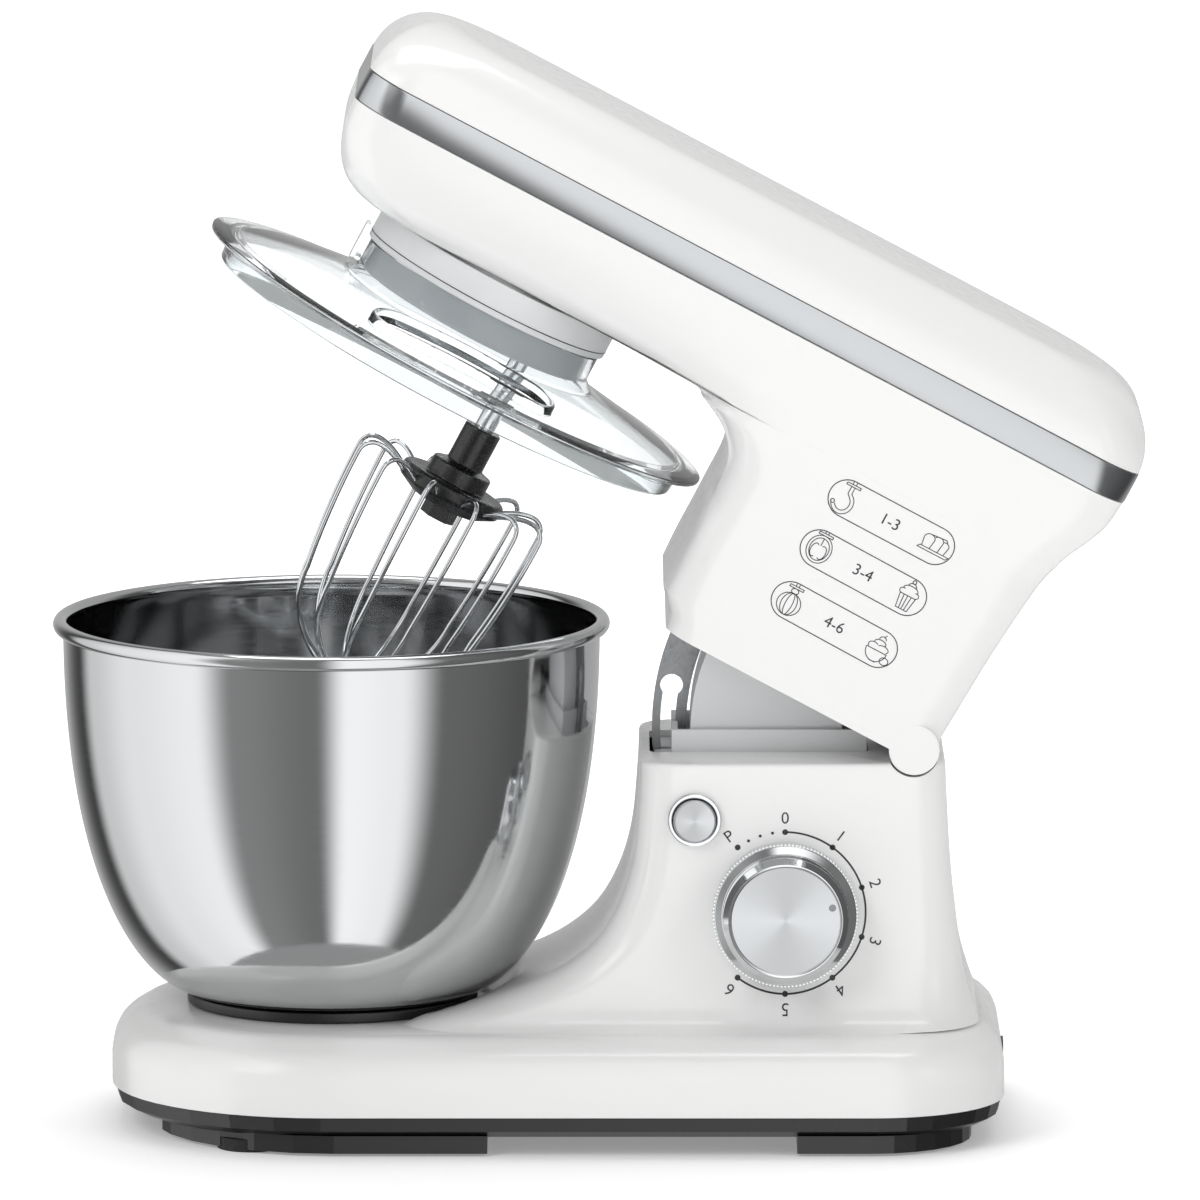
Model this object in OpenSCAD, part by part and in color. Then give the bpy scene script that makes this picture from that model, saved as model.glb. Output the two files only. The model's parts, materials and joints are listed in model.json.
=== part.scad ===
// Tilt-head stand mixer: base with column, tilting head, planetary drive, bowl, splash guard and whisk.
// Front is -X, the controls are on the -Y side, +Z is up. Z = 0 is the surface that the feet stand on.
// The head is drawn closed with the hinge axis at its own origin, then tilted into place.

/* [Base] */
// Length of the base, front to rear
base_l = 352; // [320:1:420]
// Width of the base
base_w = 194; // [180:1:235]
// Height of the joint line between housing and bottom plate
skirt_z = 16; // [14:0.5:20]
// Height of the upright band round the base
band_z = 29; // [25:0.5:34]
// Height of the flat top that the bowl stands on
plateau_z = 46; // [42:1:56]
// Wall of the moulded housings
wall = 2.6; // [2:0.1:3.2]
// Distance from the middle of the base back to the origin of the whole mixer
origin_back = 16.5; // [0:0.5:30]

/* [Column] */
// Length of the column's top, front to rear
column_l = 120; // [110:1:144]
// Width of the column's top
column_w = 112; // [104:1:134]
// Height of the column's top
column_z = 149.5; // [140:0.5:180]
// Gap from the rear of the base to the rear of the column's top
column_setback = 23.5; // [18:0.5:30]

/* [Hinge] */
// Height of the hinge axis over the column's top
hinge_rise = 5.5; // [5:0.1:8]
// Distance from the column's rear face forward to the hinge axis
hinge_in = 12.5; // [12:0.1:15]
// Tilt of the head as stored
tilt = 28; // [0:1:32]
// Diameter of the hinge pin
hinge_pin_d = 10; // [8:0.1:11]
// Radius of the rounded bosses that the pin is held in
hinge_boss_r = 10; // [9:0.1:11]

/* [Head] */
// Length of the head
head_l = 340; // [325:1:410]
// Width of the head
head_w = 120; // [116:1:144]
// Height of the head's underside over the hinge axis
under_v = 87; // [84:0.5:104]
// Height of the trim band's lower edge over the hinge axis
trim_v = 123.5; // [121:0.5:145]
// Height of the trim band
trim_h = 12.5; // [8:0.5:15]
// Height of the head's top over the hinge axis
top_v = 163; // [158:0.5:190]
// Length of the neck, front to rear, at its foot
neck_l = 124; // [116:1:140]

/* [Drive] */
// Distance from the hinge axis to the axis of the planetary drive, and to the bowl's
reach = 229; // [225:0.5:270]
// Distance from the drive's axis to the beater's axis
orbit = 24; // [24:0.1:24]
// Tooth size of the planetary gears
planet_module = 1.5; // [1.5:0.1:1.5]
// Teeth of the planet gear
planet_teeth = 16; // [16:1:16]
// Teeth of the ring gear
ring_teeth = 48; // [48:1:48]
// Tooth size of the worm drive
worm_module = 1.25; // [1.25:0.05:1.25]
// Teeth of the worm wheel
wheel_teeth = 30; // [30:1:30]
// Pitch diameter of the worm
worm_d = 10; // [9:0.5:12]
// Height of the worm wheel's middle over the hinge axis
wheel_v = 124; // [122:0.5:130]
// Diameter of the motor's armature
armature_d = 30; // [26:0.5:34]
// Running clearance of shafts in their bearings, on the radius
run = 0.05; // [0.02:0.01:0.09]

/* [Bowl] */
// Diameter of the bowl's rolled rim
rim_d = 220; // [200:1:222]
// Height of the rim over the base's flat top
bowl_h = 154; // [140:1:160]
// Thickness of the bowl's sheet
bowl_t = 1.2; // [0.8:0.1:1.6]
// Outer diameter of the bowl's foot ring
foot_d = 115; // [100:1:120]

/* [Guard] */
// Diameter of the splash guard's rim
guard_d = 217; // [200:1:218]
// Diameter of the round collar under the head
collar_d = 104; // [102:1:108]
// Wall of the splash guard
guard_t = 2; // [1.6:0.1:2.6]

/* [Whisk] */
// Radius of the wire cage at its shoulders
whisk_r = 41.5; // [34:0.5:46]
// Diameter of the cage wires
wire_d = 2.4; // [2:0.1:3]
// Number of wire loops
loops = 6; // [4:1:7]
// Diameter of the beater shaft
beater_shaft_d = 8; // [7:0.1:8.5]

/* [Controls] */
// Diameter of the knob's ribbed skirt
knob_d = 57; // [50:0.5:62]
// Height of the knob
knob_h = 17; // [14:0.5:22]
// Distance from the hinge axis forward to the knob's axis
knob_ahead = 50.5; // [46:0.5:56]
// Height of the knob's axis
knob_z = 91; // [86:0.5:96]
// Diameter of the lock button
button_d = 17; // [14:0.5:19]
// Travel of the lock button
button_travel = 4.5; // [4:0.1:5]
// Distance from the hinge axis forward to the lock button's axis
button_ahead = 86; // [84:0.5:88]
// Distance from the hinge axis down to the lock button's axis
button_below = 27.5; // [26:0.5:30]

/* [Hidden] */
$fn = 64;

base_x = -origin_back;
base_front = base_x - base_l / 2;
base_rear = base_x + base_l / 2;
column_rear = base_rear - column_setback;
column_front = column_rear - column_l;
hinge_x = column_rear - hinge_in;
hinge_z = column_z + hinge_rise;
bowl_x = hinge_x - reach;
knob_x = hinge_x - knob_ahead;
button_x = hinge_x - button_ahead;
button_z = hinge_z - button_below;
gap = 0.3;

// ---- Rounded outlines stacked into closed shells ----
corner_steps = 7;
edge_steps = 8;

// One corner of an outline, about centre c from angle a, a quarter turn
function corner(c, r, a) = [for (i = [0:corner_steps])
    c + r * [cos(a + 90 * i / corner_steps), sin(a + 90 * i / corner_steps)]];
// Points strictly between a and b
function between(a, b, n) = [for (i = [1:n - 1]) a + (b - a) * i / n];
// Rounded rectangle from x0 to x1, half width w, corner radii r0 at the front and r1 at the rear
function outline(x0, x1, w, r0, r1) = concat(
    corner([x0 + r0, r0 - w], r0, 180),
    between([x0 + r0, -w], [x1 - r1, -w], edge_steps),
    corner([x1 - r1, r1 - w], r1, 270),
    between([x1, r1 - w], [x1, w - r1], 3),
    corner([x1 - r1, w - r1], r1, 0),
    between([x1 - r1, w], [x0 + r0, w], edge_steps),
    corner([x0 + r0, w - r0], r0, 90),
    between([x0, w - r0], [x0, r0 - w], edge_steps));
// The same, with its front pushed back to a circle of radius d about the bowl's axis
function dished(pts, d) = [for (p = pts)
    [d > abs(p.y) ? max(p.x, bowl_x + sqrt(d * d - p.y * p.y)) : p.x, p.y]];
function lift(pts, z) = [for (p = pts) [p.x, p.y, z]];
function middle(pts) = [for (p = pts) 1 / len(pts)] * pts;
// A closed solid through rings of equal point count; looped joins the last ring to the first
module stack(rings, looped = false) {
    n = len(rings[0]);
    last = len(rings) - (looped ? 0 : 1);
    ring_points = [for (r = rings) for (p = r) p];
    m = len(ring_points);
    sides = [for (k = [0:last - 1]) for (i = [0:n - 1])
        let (a = k * n + i, b = k * n + (i + 1) % n, c = (a + n) % m, d = (b + n) % m)
        each [[a, c, d], [a, d, b]]];
    middles = looped ? [] : [middle(rings[0]), middle(rings[last])];
    ends = looped ? [] : [for (i = [0:n - 1]) let (j = (i + 1) % n) each [[i, j, m], [m - n + j, m - n + i, m + 1]]];
    polyhedron(concat(ring_points, middles), concat(sides, ends), convexity = 10);
}

// ---- Places ----
module at_head() { translate([hinge_x, 0, hinge_z]) rotate([0, tilt, 0]) children(); }
// In the head's frame u runs forward along -X
module at_drive(v = 0) { at_head() translate([-reach, 0, v]) children(); }
module at_beater(v = 0) { at_drive(v) translate([orbit, 0, 0]) children(); }
module around(n, r) { for (i = [0:n - 1]) rotate(360 * i / n) translate([r, 0, 0]) children(); }
module ring(r0, r1, h) { difference() { cylinder(r = r1, h = h); translate([0, 0, -1]) cylinder(r = r0, h = h + 2); } }
module along_y(y0, y1) { translate([0, y1, 0]) rotate([90, 0, 0]) linear_extrude(y1 - y0) children(); }
module rod_y(r, y0, y1) { translate([0, y1, 0]) rotate([90, 0, 0]) cylinder(r = r, h = y1 - y0); }

// ---- Base housing ----
// Each row: height, front, rear, half width, front corner, rear corner, dish radius
flank = 19;
function base_row(z, in) = [z, base_front + in, base_rear - in * 0.55, base_w / 2 - in, 85 - in, 52 - in / 2, 0];
function column_row(z, front, rear, w, c, dish) =
    [z, column_front - front, column_rear + rear, column_w / 2 + w, c, c, dish];
bowl_wall_r = rim_d / 2 - 4;
base_rows = [base_row(skirt_z + gap, 0), base_row(band_z, 0), base_row(band_z + 5, 1.2),
    base_row(band_z + 10, 4.5), base_row(plateau_z - 3.6, 9), base_row(plateau_z - 0.9, 14),
    base_row(plateau_z, flank)];
column_rows = [
    column_row(plateau_z + 0.3, 96, 13.5, 20, 30, foot_d / 2 + 5),
    column_row(plateau_z + 3, 88, 12.5, 15, 28, foot_d / 2 + 6),
    column_row(plateau_z + 9, 60, 10.5, 9.5, 24, foot_d / 2 + 13.5),
    column_row(plateau_z + 18, 36, 8, 5, 21, bowl_wall_r - 27),
    column_row(plateau_z + 30, 19, 6, 2.8, 18, bowl_wall_r - 15),
    column_row(plateau_z + 45, 9, 4, 1.7, 16, bowl_wall_r + 2),
    column_row(plateau_z + 64, 3, 2, 1, 15, bowl_wall_r + 9),
    column_row(column_z - 16, 0.6, 0.6, 0.3, 14, 0),
    column_row(column_z - 1.2, 0, 0, 0, 14, 0),
    column_row(column_z, -1.2, -1.2, -1.2, 13, 0)];
function row_ring(r) = lift(dished(outline(r[1], r[2], r[3], r[4], r[5]), r[6]), r[0]);
// A row moved in by t and down by d
function inner_row(r, t, d) =
    [r[0] - d, r[1] + t, r[2] - t, r[3] - t, r[4] - t, r[5] - t, r[6] > 0 ? r[6] + t : 0];
deck_open = [column_front + 4, column_rear - 30, 27];
module base_shell() {
    outer = [for (r = concat(base_rows, column_rows)) row_ring(r)];
    deck = [for (z = [column_z, column_z - wall])
        lift(outline(deck_open[0], deck_open[1], deck_open[2], 4, 4), z)];
    top = column_rows[len(column_rows) - 1];
    inside = [for (i = [len(column_rows) - 3:-1:0]) row_ring(inner_row(column_rows[i], wall, wall))];
    low = [for (i = [len(base_rows) - 1:-1:0])
        row_ring(inner_row(base_rows[i], wall, i < 1 ? 0 : wall))];
    stack(concat(outer, deck, [row_ring(inner_row(top, wall, wall))], inside, low), looped = true);
}
module base_housing() color("white") difference() {
    union() {
        base_shell();
        feet_places() translate([0, 0, skirt_z + gap]) cylinder(r = 4.2, h = plateau_z - 0.8 - skirt_z - gap);
    }
    feet_places() cylinder(r = screw_r + 0.05, h = skirt_z + 14);
    translate([hinge_x, 0, hinge_z]) rod_y(hinge_boss_r + 0.8, -column_w, column_w);
    translate([knob_x, 0, knob_z]) rod_y(5.2, -column_w, -column_w / 2 + 12);
    translate([button_x, 0, button_z]) rod_y(button_d / 2 + 1.6, -column_w, -column_w / 2 + 12);
    translate([base_rear - 12, 0, skirt_z + 9]) rotate([0, 90, 0]) cylinder(r = 6.2, h = 20);
    translate([bowl_x, 0, plateau_z - 12]) cylinder(r = seat_r + 0.4, h = 20);
}

// ---- Underside of the base ----
foot_inset = 20;
module bottom_plate() color("#222326") difference() {
    union() {
        stack([for (r = [[skirt_z - 8.8, 9], [skirt_z - 5.6, 2.5], [skirt_z, 1]])
            lift(outline(base_front + r[1], base_rear - r[1], base_w / 2 - r[1], 84 - r[1], 50 - r[1]), r[0])]);
        foot_pads();
    }
    feet_places() translate([0, 0, -1]) cylinder(r = foot_r + gap, h = 6.2);
    feet_places() cylinder(r = screw_r + 0.1, h = skirt_z + 2);
    feet_places() cylinder(r = 3.7, h = 7.4);
}
screw_r = 1.7;
foot_r = 13;
feet_x = [base_front + 56, base_rear - 42];
feet_y = base_w / 2 - 27;
module feet_places() { for (x = feet_x, s = [-1, 1]) translate([x, s * feet_y, 0]) children(); }
pad_ends = [base_front + 149, base_rear - 82];
module foot_pads() translate([0, 0, 1.2]) linear_extrude(skirt_z - 9) difference() {
    polygon(outline(base_front + 17, base_rear - 13, base_w / 2 - 5, 72, 40));
    square([2 * base_l, base_w - 112], center = true);
    translate([pad_ends.x, -base_w]) square([pad_ends.y - pad_ends.x, 2 * base_w]);
}
module rubber_feet() color("#1a1a1a") feet_places() difference() {
    cylinder(r = foot_r, h = 5);
    translate([0, 0, -1]) cylinder(r = foot_r - 3, h = 2.4);
    translate([0, 0, 1]) cylinder(r = 1.8, h = 6);
}
module base_screws() color("silver") feet_places() translate([0, 0, 5.25]) {
    cylinder(r = 3.4, h = 2);
    cylinder(r = screw_r, h = skirt_z + 4);
}

// ---- Bowl and its seat ----
seat_r = 46;
lug_count = 3;
seat_top = plateau_z + 4;
module lug(r0, r1, z0, z1, a) { translate([0, 0, z0]) linear_extrude(z1 - z0) intersection() {
    difference() { circle(r = r1); circle(r = r0); }
    polygon([[0, 0], 2 * r1 * [cos(a), -sin(a)], 2 * r1 * [1.2, 0], 2 * r1 * [cos(a), sin(a)]]);
} }
module bowl_seat() color("#2a2b2e") translate([bowl_x, 0, 0]) {
    translate([0, 0, plateau_z - 10]) cylinder(r = seat_r, h = seat_top - plateau_z + 10);
    translate([0, 0, skirt_z]) cylinder(r = 22, h = plateau_z - 9.5 - skirt_z);
    for (i = [0:lug_count - 1]) rotate(120 * i) lug(seat_r - 1, seat_r + 3.4, plateau_z + 2.6, seat_top, 14);
}
module bowl_foot() color("#1d1d1f") translate([bowl_x, 0, 0]) {
    translate([0, 0, plateau_z + gap]) ring(foot_d / 2 - 5.5, foot_d / 2, 4.2);
    for (i = [0:lug_count - 1]) rotate(120 * i)
        lug(seat_r + 0.6, foot_d / 2 - 5, plateau_z + gap, plateau_z + 2.2, 14);
}
bowl_low = plateau_z + 4.8;
rim_z = plateau_z + bowl_h;
// Radius of the bowl's outside, from its floor (0) to under its rim (1)
function bowl_r(t) = foot_d / 2 - 3 + (bowl_wall_r - foot_d / 2 + 3) * sin(90 * pow(t, 0.55));
bowl_steps = 14;
module bowl() color("#c9ccd0") translate([bowl_x, 0, 0]) {
    h = rim_z - bowl_low - 3;
    out = [for (i = [0:bowl_steps]) let (t = i / bowl_steps) [bowl_r(t), bowl_low + h * t]];
    rotate_extrude() polygon(concat([[0, bowl_low]], out,
        [for (i = [bowl_steps:-1:0]) out[i] + [-bowl_t, i == 0 ? bowl_t : 0]], [[0, bowl_low + bowl_t]]));
    translate([0, 0, rim_z - 3]) rotate_extrude() translate([rim_d / 2 - 3, 0]) circle(r = 3, $fn = 24);
}

// ---- Head ----
rear_u = 27;
front_u = head_l - rear_u;
half_w = head_w / 2;
neck_half = column_w / 2;
neck_u = neck_l - 8;
function step(a, b, x) = let (t = min(1, max(0, (x - a) / (b - a)))) t * t * (3 - 2 * t);
// Each row: height, front and rear reach, half width, share of it left ahead of the neck, front corner
head_rows = [[-4.2, neck_u - 8, 8, neck_half, 1, 12], [2.5, neck_u - 6, 8, neck_half, 1, 12],
    [9, neck_u, 8.2, neck_half, 1, 14], [22, neck_u + 0.5, 8.8, neck_half + 0.2, 1, 14],
    [45, neck_u + 0.5, 10, neck_half + 0.6, 1, 14], [under_v - 22, neck_u + 1.5, 11.8, neck_half + 1, 1, 15],
    [under_v - 11, neck_u + 9.5, 13.2, neck_half + 1.3, 1, 17],
    [under_v - 4.5, neck_u + 22, 14.5, neck_half + 1.7, 1, 20],
    [under_v - 0.5, neck_u + 40, 15.6, neck_half + 1.9, 0.9, 26],
    [under_v, front_u - 32, 15.8, neck_half + 2, 0.78, 30],
    [under_v + 1, front_u - 23, 16.2, neck_half + 2.1, 0.86, 30],
    [under_v + 4, front_u - 15, 17, neck_half + 2.3, 0.93, 28],
    [under_v + 9, front_u - 9, 19, neck_half + 2.8, 0.97, 24],
    [under_v + 16, front_u - 4.5, 22.5, half_w - 0.8, 0.99, 21],
    [under_v + 25, front_u - 1.2, 25.8, half_w - 0.2, 1, 19],
    [trim_v - 0.3, front_u, rear_u, half_w, 1, 18]];
function narrowed(pts, k) = [for (p = pts)
    [p.x, p.y * (1 - (1 - k) * step(neck_u + 4, neck_u + 50, -p.x))]];
function head_ring(r, t = 0, up = 0) = lift(narrowed(
    outline(t - r[1], r[2] - t, r[3] - t, r[5] - t, min(r[5], 18) - t), r[4]), r[0] + up);
trim_t = 1.6;
function trim_ring(t, z) = head_ring([z, front_u, rear_u, half_w, 1, 18], t);
joint_v = trim_v + trim_h / 2;
// The shells are screwed together at four bosses, the lower ones counterbored from beneath
screw_top = under_v + 22;
module screw_places(v) { for (u = [front_u - 40, reach - 34], s = [-1, 1])
    translate([-u, s * (half_w - 22), v]) children(); }
module head_lower_shell() color("white") at_head() difference() {
    union() {
        difference() {
            lower_shell_wall();
            translate([-reach, 0, under_v - 5]) cylinder(r = collar_d / 2 - 6, h = 20);
            for (s = [-1, 1]) rod_y(hinge_boss_r + 1.4, s > 0 ? 26 : -33, s > 0 ? 33 : -26);
        }
        screw_places(under_v + 1.6) cylinder(r = 6, h = screw_top - under_v - 1.6);
        for (s = [-1, 1]) rod_y(hinge_boss_r, s > 0 ? 34 : -neck_half + 0.2, s > 0 ? neck_half - 0.2 : -34);
    }
    rod_y(hinge_pin_d / 2, -pin_half, pin_half);
    screw_places(under_v - 2) cylinder(r = 3.6, h = 16.5);
    screw_places(under_v) cylinder(r = screw_r + 0.1, h = 30);
}
pin_half = 50;
module lower_shell_wall() {
    n = len(head_rows);
    stack(concat([for (r = head_rows) head_ring(r)],
        [trim_ring(trim_t + 0.1, trim_v - 0.3), trim_ring(trim_t + 0.1, joint_v),
            trim_ring(trim_t + wall, joint_v)],
        [for (i = [n - 1:-1:0]) head_ring(head_rows[i], wall + (i == n - 1 ? trim_t : 0),
            i > 7 && i < 14 ? wall * (i < 11 ? 1 : 0.6) : 0)]), looped = true);
}
cover_steps = 7;
cover_round = 27;
// A ring of the cover's rounded edge, a from 0 at the trim to 90 at the top
function cover_ring(a, t) = let (in = cover_round * (1 - cos(a)) + t, r = 18 + 14 * sin(a) - t) lift(
    outline(in * 0.9 - front_u, rear_u - in * 1.1, half_w - in, r, r),
    trim_v + trim_h + 0.3 + (top_v - trim_v - trim_h - 0.3) * sin(a) - (a > 0 ? t * sin(a) : 0));
module head_top_cover() color("white") at_head() difference() {
    union() {
        cover_wall();
        intersection() {
            screw_places(screw_top + 0.1) cylinder(r = 5, h = top_v - screw_top);
            stack(concat([lift(cover_ring(0, 1), screw_top)],
                [for (i = [0:cover_steps]) cover_ring(90 * i / cover_steps, 1)]));
        }
    }
    screw_places(screw_top) cylinder(r = screw_r + 0.05, h = 26);
}
module cover_wall() stack(concat(
    [for (i = [cover_steps:-1:0]) cover_ring(90 * i / cover_steps, wall + trim_t * (i == 0 ? 1 : 0))],
    [trim_ring(trim_t + wall, joint_v + gap), trim_ring(trim_t + 0.1, joint_v + gap),
        trim_ring(trim_t + 0.1, trim_v + trim_h + gap)],
    [for (i = [0:cover_steps]) cover_ring(90 * i / cover_steps, 0)]));
module trim_band() color("#b9bcc0") at_head() stack([
    trim_ring(-0.25, trim_v), trim_ring(-0.25, trim_v + trim_h),
    trim_ring(trim_t, trim_v + trim_h), trim_ring(trim_t, trim_v)], looped = true);

// ---- Hinge, shield and lock ----
module hinge_pin() color("silver") at_head() rod_y(hinge_pin_d / 2, -pin_half + 0.5, pin_half - 0.5);
ear_y = 28;
ear_t = 3.4;
bush_r = 7;
module ears() { for (s = [-1, 1]) translate([0, s > 0 ? ear_y : -ear_y - ear_t, 0]) children(); }
module hinge_bracket() color("#8f9296") translate([hinge_x, 0, hinge_z]) {
    ears() along_y(0, ear_t) difference() {
        union() { circle(r = hinge_boss_r - 0.4); translate([-6, -46]) square([12, 46]); }
        circle(r = bush_r);
    }
    translate([-22, -ear_y - ear_t, -49]) cube([30, 2 * (ear_y + ear_t), 3]);
    translate([-22, wall - side_y, -49]) cube([20, column_w - 2 * wall, 3]);
}
module hinge_bushes() color("#b08d57") translate([hinge_x, 0, hinge_z]) ears()
    along_y(-0.3, ear_t + 0.3) difference() { circle(r = bush_r); circle(r = hinge_pin_d / 2 + run); }
// Sector of a ring about the hinge, from angle a0 to a1 below the forward direction
module sector(r0, r1, a0, a1) { intersection() {
    difference() { circle(r = r1, $fn = 180); circle(r = r0, $fn = 180); }
    polygon(concat([[0, 0]], [for (i = [0:4]) let (a = a0 + (a1 - a0) * i / 4)
        1.2 * r1 * [-cos(a), -sin(a)]]));
} }
shield_r = 87.5;
shield_half = 21;
bridge_y = neck_half - wall - 0.2;
module inner_shield() color("#e9eaec") at_head() difference() {
    union() {
        along_y(-shield_half, shield_half) sector(28, shield_r, -4, 29);
        along_y(-bridge_y, bridge_y) translate([-shield_r - 4, 4]) square([shield_r - 24, 3]);
        along_y(-shield_half, shield_half) translate([-plate_r1 - 1.5, 4]) square([20, 3]);
    }
    translate([-plate_r1 - 2, -plate_half - 0.1, 3]) cube([plate_r1 + 2 - shield_r + 1, 2 * plate_half + 0.2, 5]);
    along_y(2 - shield_half, shield_half - 2) sector(10, shield_r - 2, -12, 37);
}
plate_r0 = 89;
plate_r1 = 102.5;
pin_circle = (plate_r0 + plate_r1) / 2 + 0.5;
pin_low = 17.8;
lock_r = 4.3;
slot_half = 3;
plate_half = 1.5;
module lock_plate() color("#85888c") at_head() along_y(-plate_half, plate_half) difference() {
    sector(plate_r0, plate_r1, -16, pin_low + tilt + 6);
    sector(pin_circle - slot_half, pin_circle + slot_half, pin_low, pin_low + tilt);
    for (a = [pin_low, pin_low + tilt]) translate(pin_circle * [-cos(a), -sin(a)]) circle(r = lock_r + 0.2);
}
module column_frame() color("#e6e7e9") difference() {
    x0 = column_front + 12.7; x1 = column_front + 89.4;
    union() {
        translate([x0, -25, column_z - 9]) cube([x1 - x0, 50, 17.5]);
        translate([column_front + 6, -31, column_z - wall - 2.3]) cube([x1 - column_front - 2, 62, 2.2]);
    }
    translate([x0 + 2.4, -22.6, column_z - 10]) cube([x1 - x0 - 4.8, 45.2, 20]);
    translate([column_front, -2.6, column_z - 10]) cube([x0 - column_front + 4, 5.2, 20]);
}
pin_x = hinge_x - pin_circle * cos(pin_low);
pin_z = hinge_z - pin_circle * sin(pin_low);
side_y = column_w / 2;
module lock_button() color("#d0d2d5") translate([button_x, 0, button_z])
    rod_y(button_d / 2, -side_y - 5.5, -side_y + 7);
// A bar behind the button carries the stepped pin: wide to hold the plate, narrow to let it run
bar_y = -26;
bar_t = 4;
pin_tail = 22;
module lock_slide() color("#9a9da1") {
    translate([button_x, 0, button_z]) rod_y(3.5, -side_y + 7, bar_y);
    along_y(bar_y, bar_y + bar_t) bar_outline();
    translate([pin_x, 0, pin_z]) {
        rod_y(lock_r, bar_y + bar_t, -plate_half - 4.7);
        rod_y(2.4, -plate_half - 4.7, pin_tail);
        rod_y(lock_r, plate_half + 0.7, plate_half + 7.5);
    }
}
spring_y = [plate_half + 7.7, 17.8];
module lock_guide() color("#3a3c40") {
    translate([button_x, 0, button_z]) along_y(-46, -32) difference() {
        circle(r = 8);
        circle(r = 3.5 + run);
    }
    translate([button_x, 0, button_z]) along_y(-44, -41) difference() {
        translate([-12, 6]) square([24, 12]);
        circle(r = 7);
    }
    translate([pin_x, 0, pin_z]) along_y(18, 21) difference() {
        circle(r = 8);
        circle(r = 2.4 + run);
    }
}
module lock_spring() color("silver") translate([pin_x, 0, pin_z]) rotate([-90, 0, 0])
    coil(3.7, 0.7, spring_y[0] + 0.5, spring_y[1] - 0.5, 4, 8);
// A coil of n turns about Z, radius r, wire radius w, from z0 to z1
module coil(r, w, z0, z1, n, sides) {
    count = n * 16;
    stack([for (i = [0:count]) let (a = 360 * n * i / count, z = z0 + (z1 - z0) * i / count)
        [for (j = [0:sides - 1]) let (b = 360 * j / sides)
            [(r + w * cos(b)) * cos(a), (r + w * cos(b)) * sin(a), z + w * sin(b)]]]);
}
module lock_bezel() color("#d9dbde") translate([button_x, 0, button_z]) {
    along_y(-side_y - 2.6, -side_y + 4) difference() { circle(r = button_d / 2 + 1.4); circle(r = button_d / 2 + 0.2); }
    along_y(-side_y - 2.6, -side_y - 0.8) difference() { circle(r = button_d / 2 + 2); circle(r = button_d / 2 + 1.3); }
}
module bar_outline() {
    for (p = [[button_x, button_z], [pin_x, pin_z]]) translate([p.x, p.y]) circle(r = 6);
    d = [pin_x - button_x, pin_z - button_z];
    n = 6 * [-d.y, d.x] / norm(d);
    polygon([[button_x, button_z] + n, [button_x, button_z] - n, [pin_x, pin_z] - n, [pin_x, pin_z] + n]);
}

// ---- Speed knob and electrics ----
knob_back = -side_y - 6;
module dial_ring() color("#c3c6ca") translate([knob_x, 0, knob_z])
    along_y(knob_back + 0.3, -side_y + 1) difference() { circle(r = knob_d / 2 - 0.6); circle(r = knob_d / 2 - 4); }
bevel_r = knob_d / 2 - 4;
face_r = bevel_r - 2.8;
rib_count = 60;
module knob_body() color("#b5b8bc") translate([knob_x, knob_back, knob_z]) rotate([90, 0, 0]) difference() {
    union() {
        linear_extrude(5) union() {
            circle(r = knob_d / 2 - 0.6);
            for (i = [0:rib_count - 1]) rotate(360 * i / rib_count) translate([knob_d / 2 - 1, -0.5]) square([1, 1]);
        }
        cylinder(r = bevel_r, h = knob_h - 3);
    }
    translate([0, 0, -1]) cylinder(r = shaft_r + 0.02, h = knob_h - 5);
}
module knob_cap() color("#d6d8db") translate([knob_x, knob_back, knob_z]) rotate([90, 0, 0])
    translate([0, 0, knob_h - 3]) rotate_extrude() polygon([[0, 0], [bevel_r, 0], [bevel_r, 0.8],
        [face_r + 0.6, 3], [face_r, 2.9], [face_r - 0.8, 2.5], [0, 2.5]]);
shaft_r = 3;
module switch_shaft() color("silver") translate([knob_x, 0, knob_z])
    rod_y(shaft_r, knob_back - knob_h + 6.1, -side_y + 14);
module speed_switch() color("#3b4a66") translate([knob_x, 0, knob_z]) {
    along_y(-side_y + 8, -side_y + 26) difference() {
        translate([-14, -14]) square(28);
        circle(r = shaft_r + run);
    }
    along_y(-side_y - 2, -side_y + 8) difference() { circle(r = 4.9); circle(r = shaft_r + run); }
}
module switch_nut() color("silver") translate([knob_x, 0, knob_z])
    along_y(-side_y - 5, -side_y - 2.2) difference() { circle(r = 8, $fn = 6); circle(r = 4.95); }
board = [70, 44, 1.6];
board_x = hinge_x - 62;
board_z = 40;
module board_places() { for (x = [-1, 1], y = [-1, 1])
    translate([board_x + x * (board.x / 2 - 4), y * (board.y / 2 - 4), 0]) children(); }
module board_posts() color("#222326") board_places() translate([0, 0, skirt_z]) difference() {
    cylinder(r = 3.4, h = board_z - skirt_z);
    translate([0, 0, board_z - skirt_z - 7]) cylinder(r = 1.25, h = 8);
}
module control_board() color("#2f6b3c") {
    difference() {
        translate([board_x - board.x / 2, -board.y / 2, board_z]) cube(board);
        board_places() translate([0, 0, board_z - 1]) cylinder(r = 1.6, h = 4);
    }
    translate([board_x - 20, -8, board_z + board.z]) cube([16, 16, 22]);
    translate([board_x + 8, 4, board_z + board.z]) cylinder(r = 6, h = 16);
    translate([board_x + 8, -12, board_z + board.z]) cube([20, 3, 14]);
}
module board_screws() color("silver") board_places() translate([0, 0, board_z + board.z]) {
    cylinder(r = 2.6, h = 1.6);
    translate([0, 0, -7.5]) cylinder(r = 1.2, h = 8);
}
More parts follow.
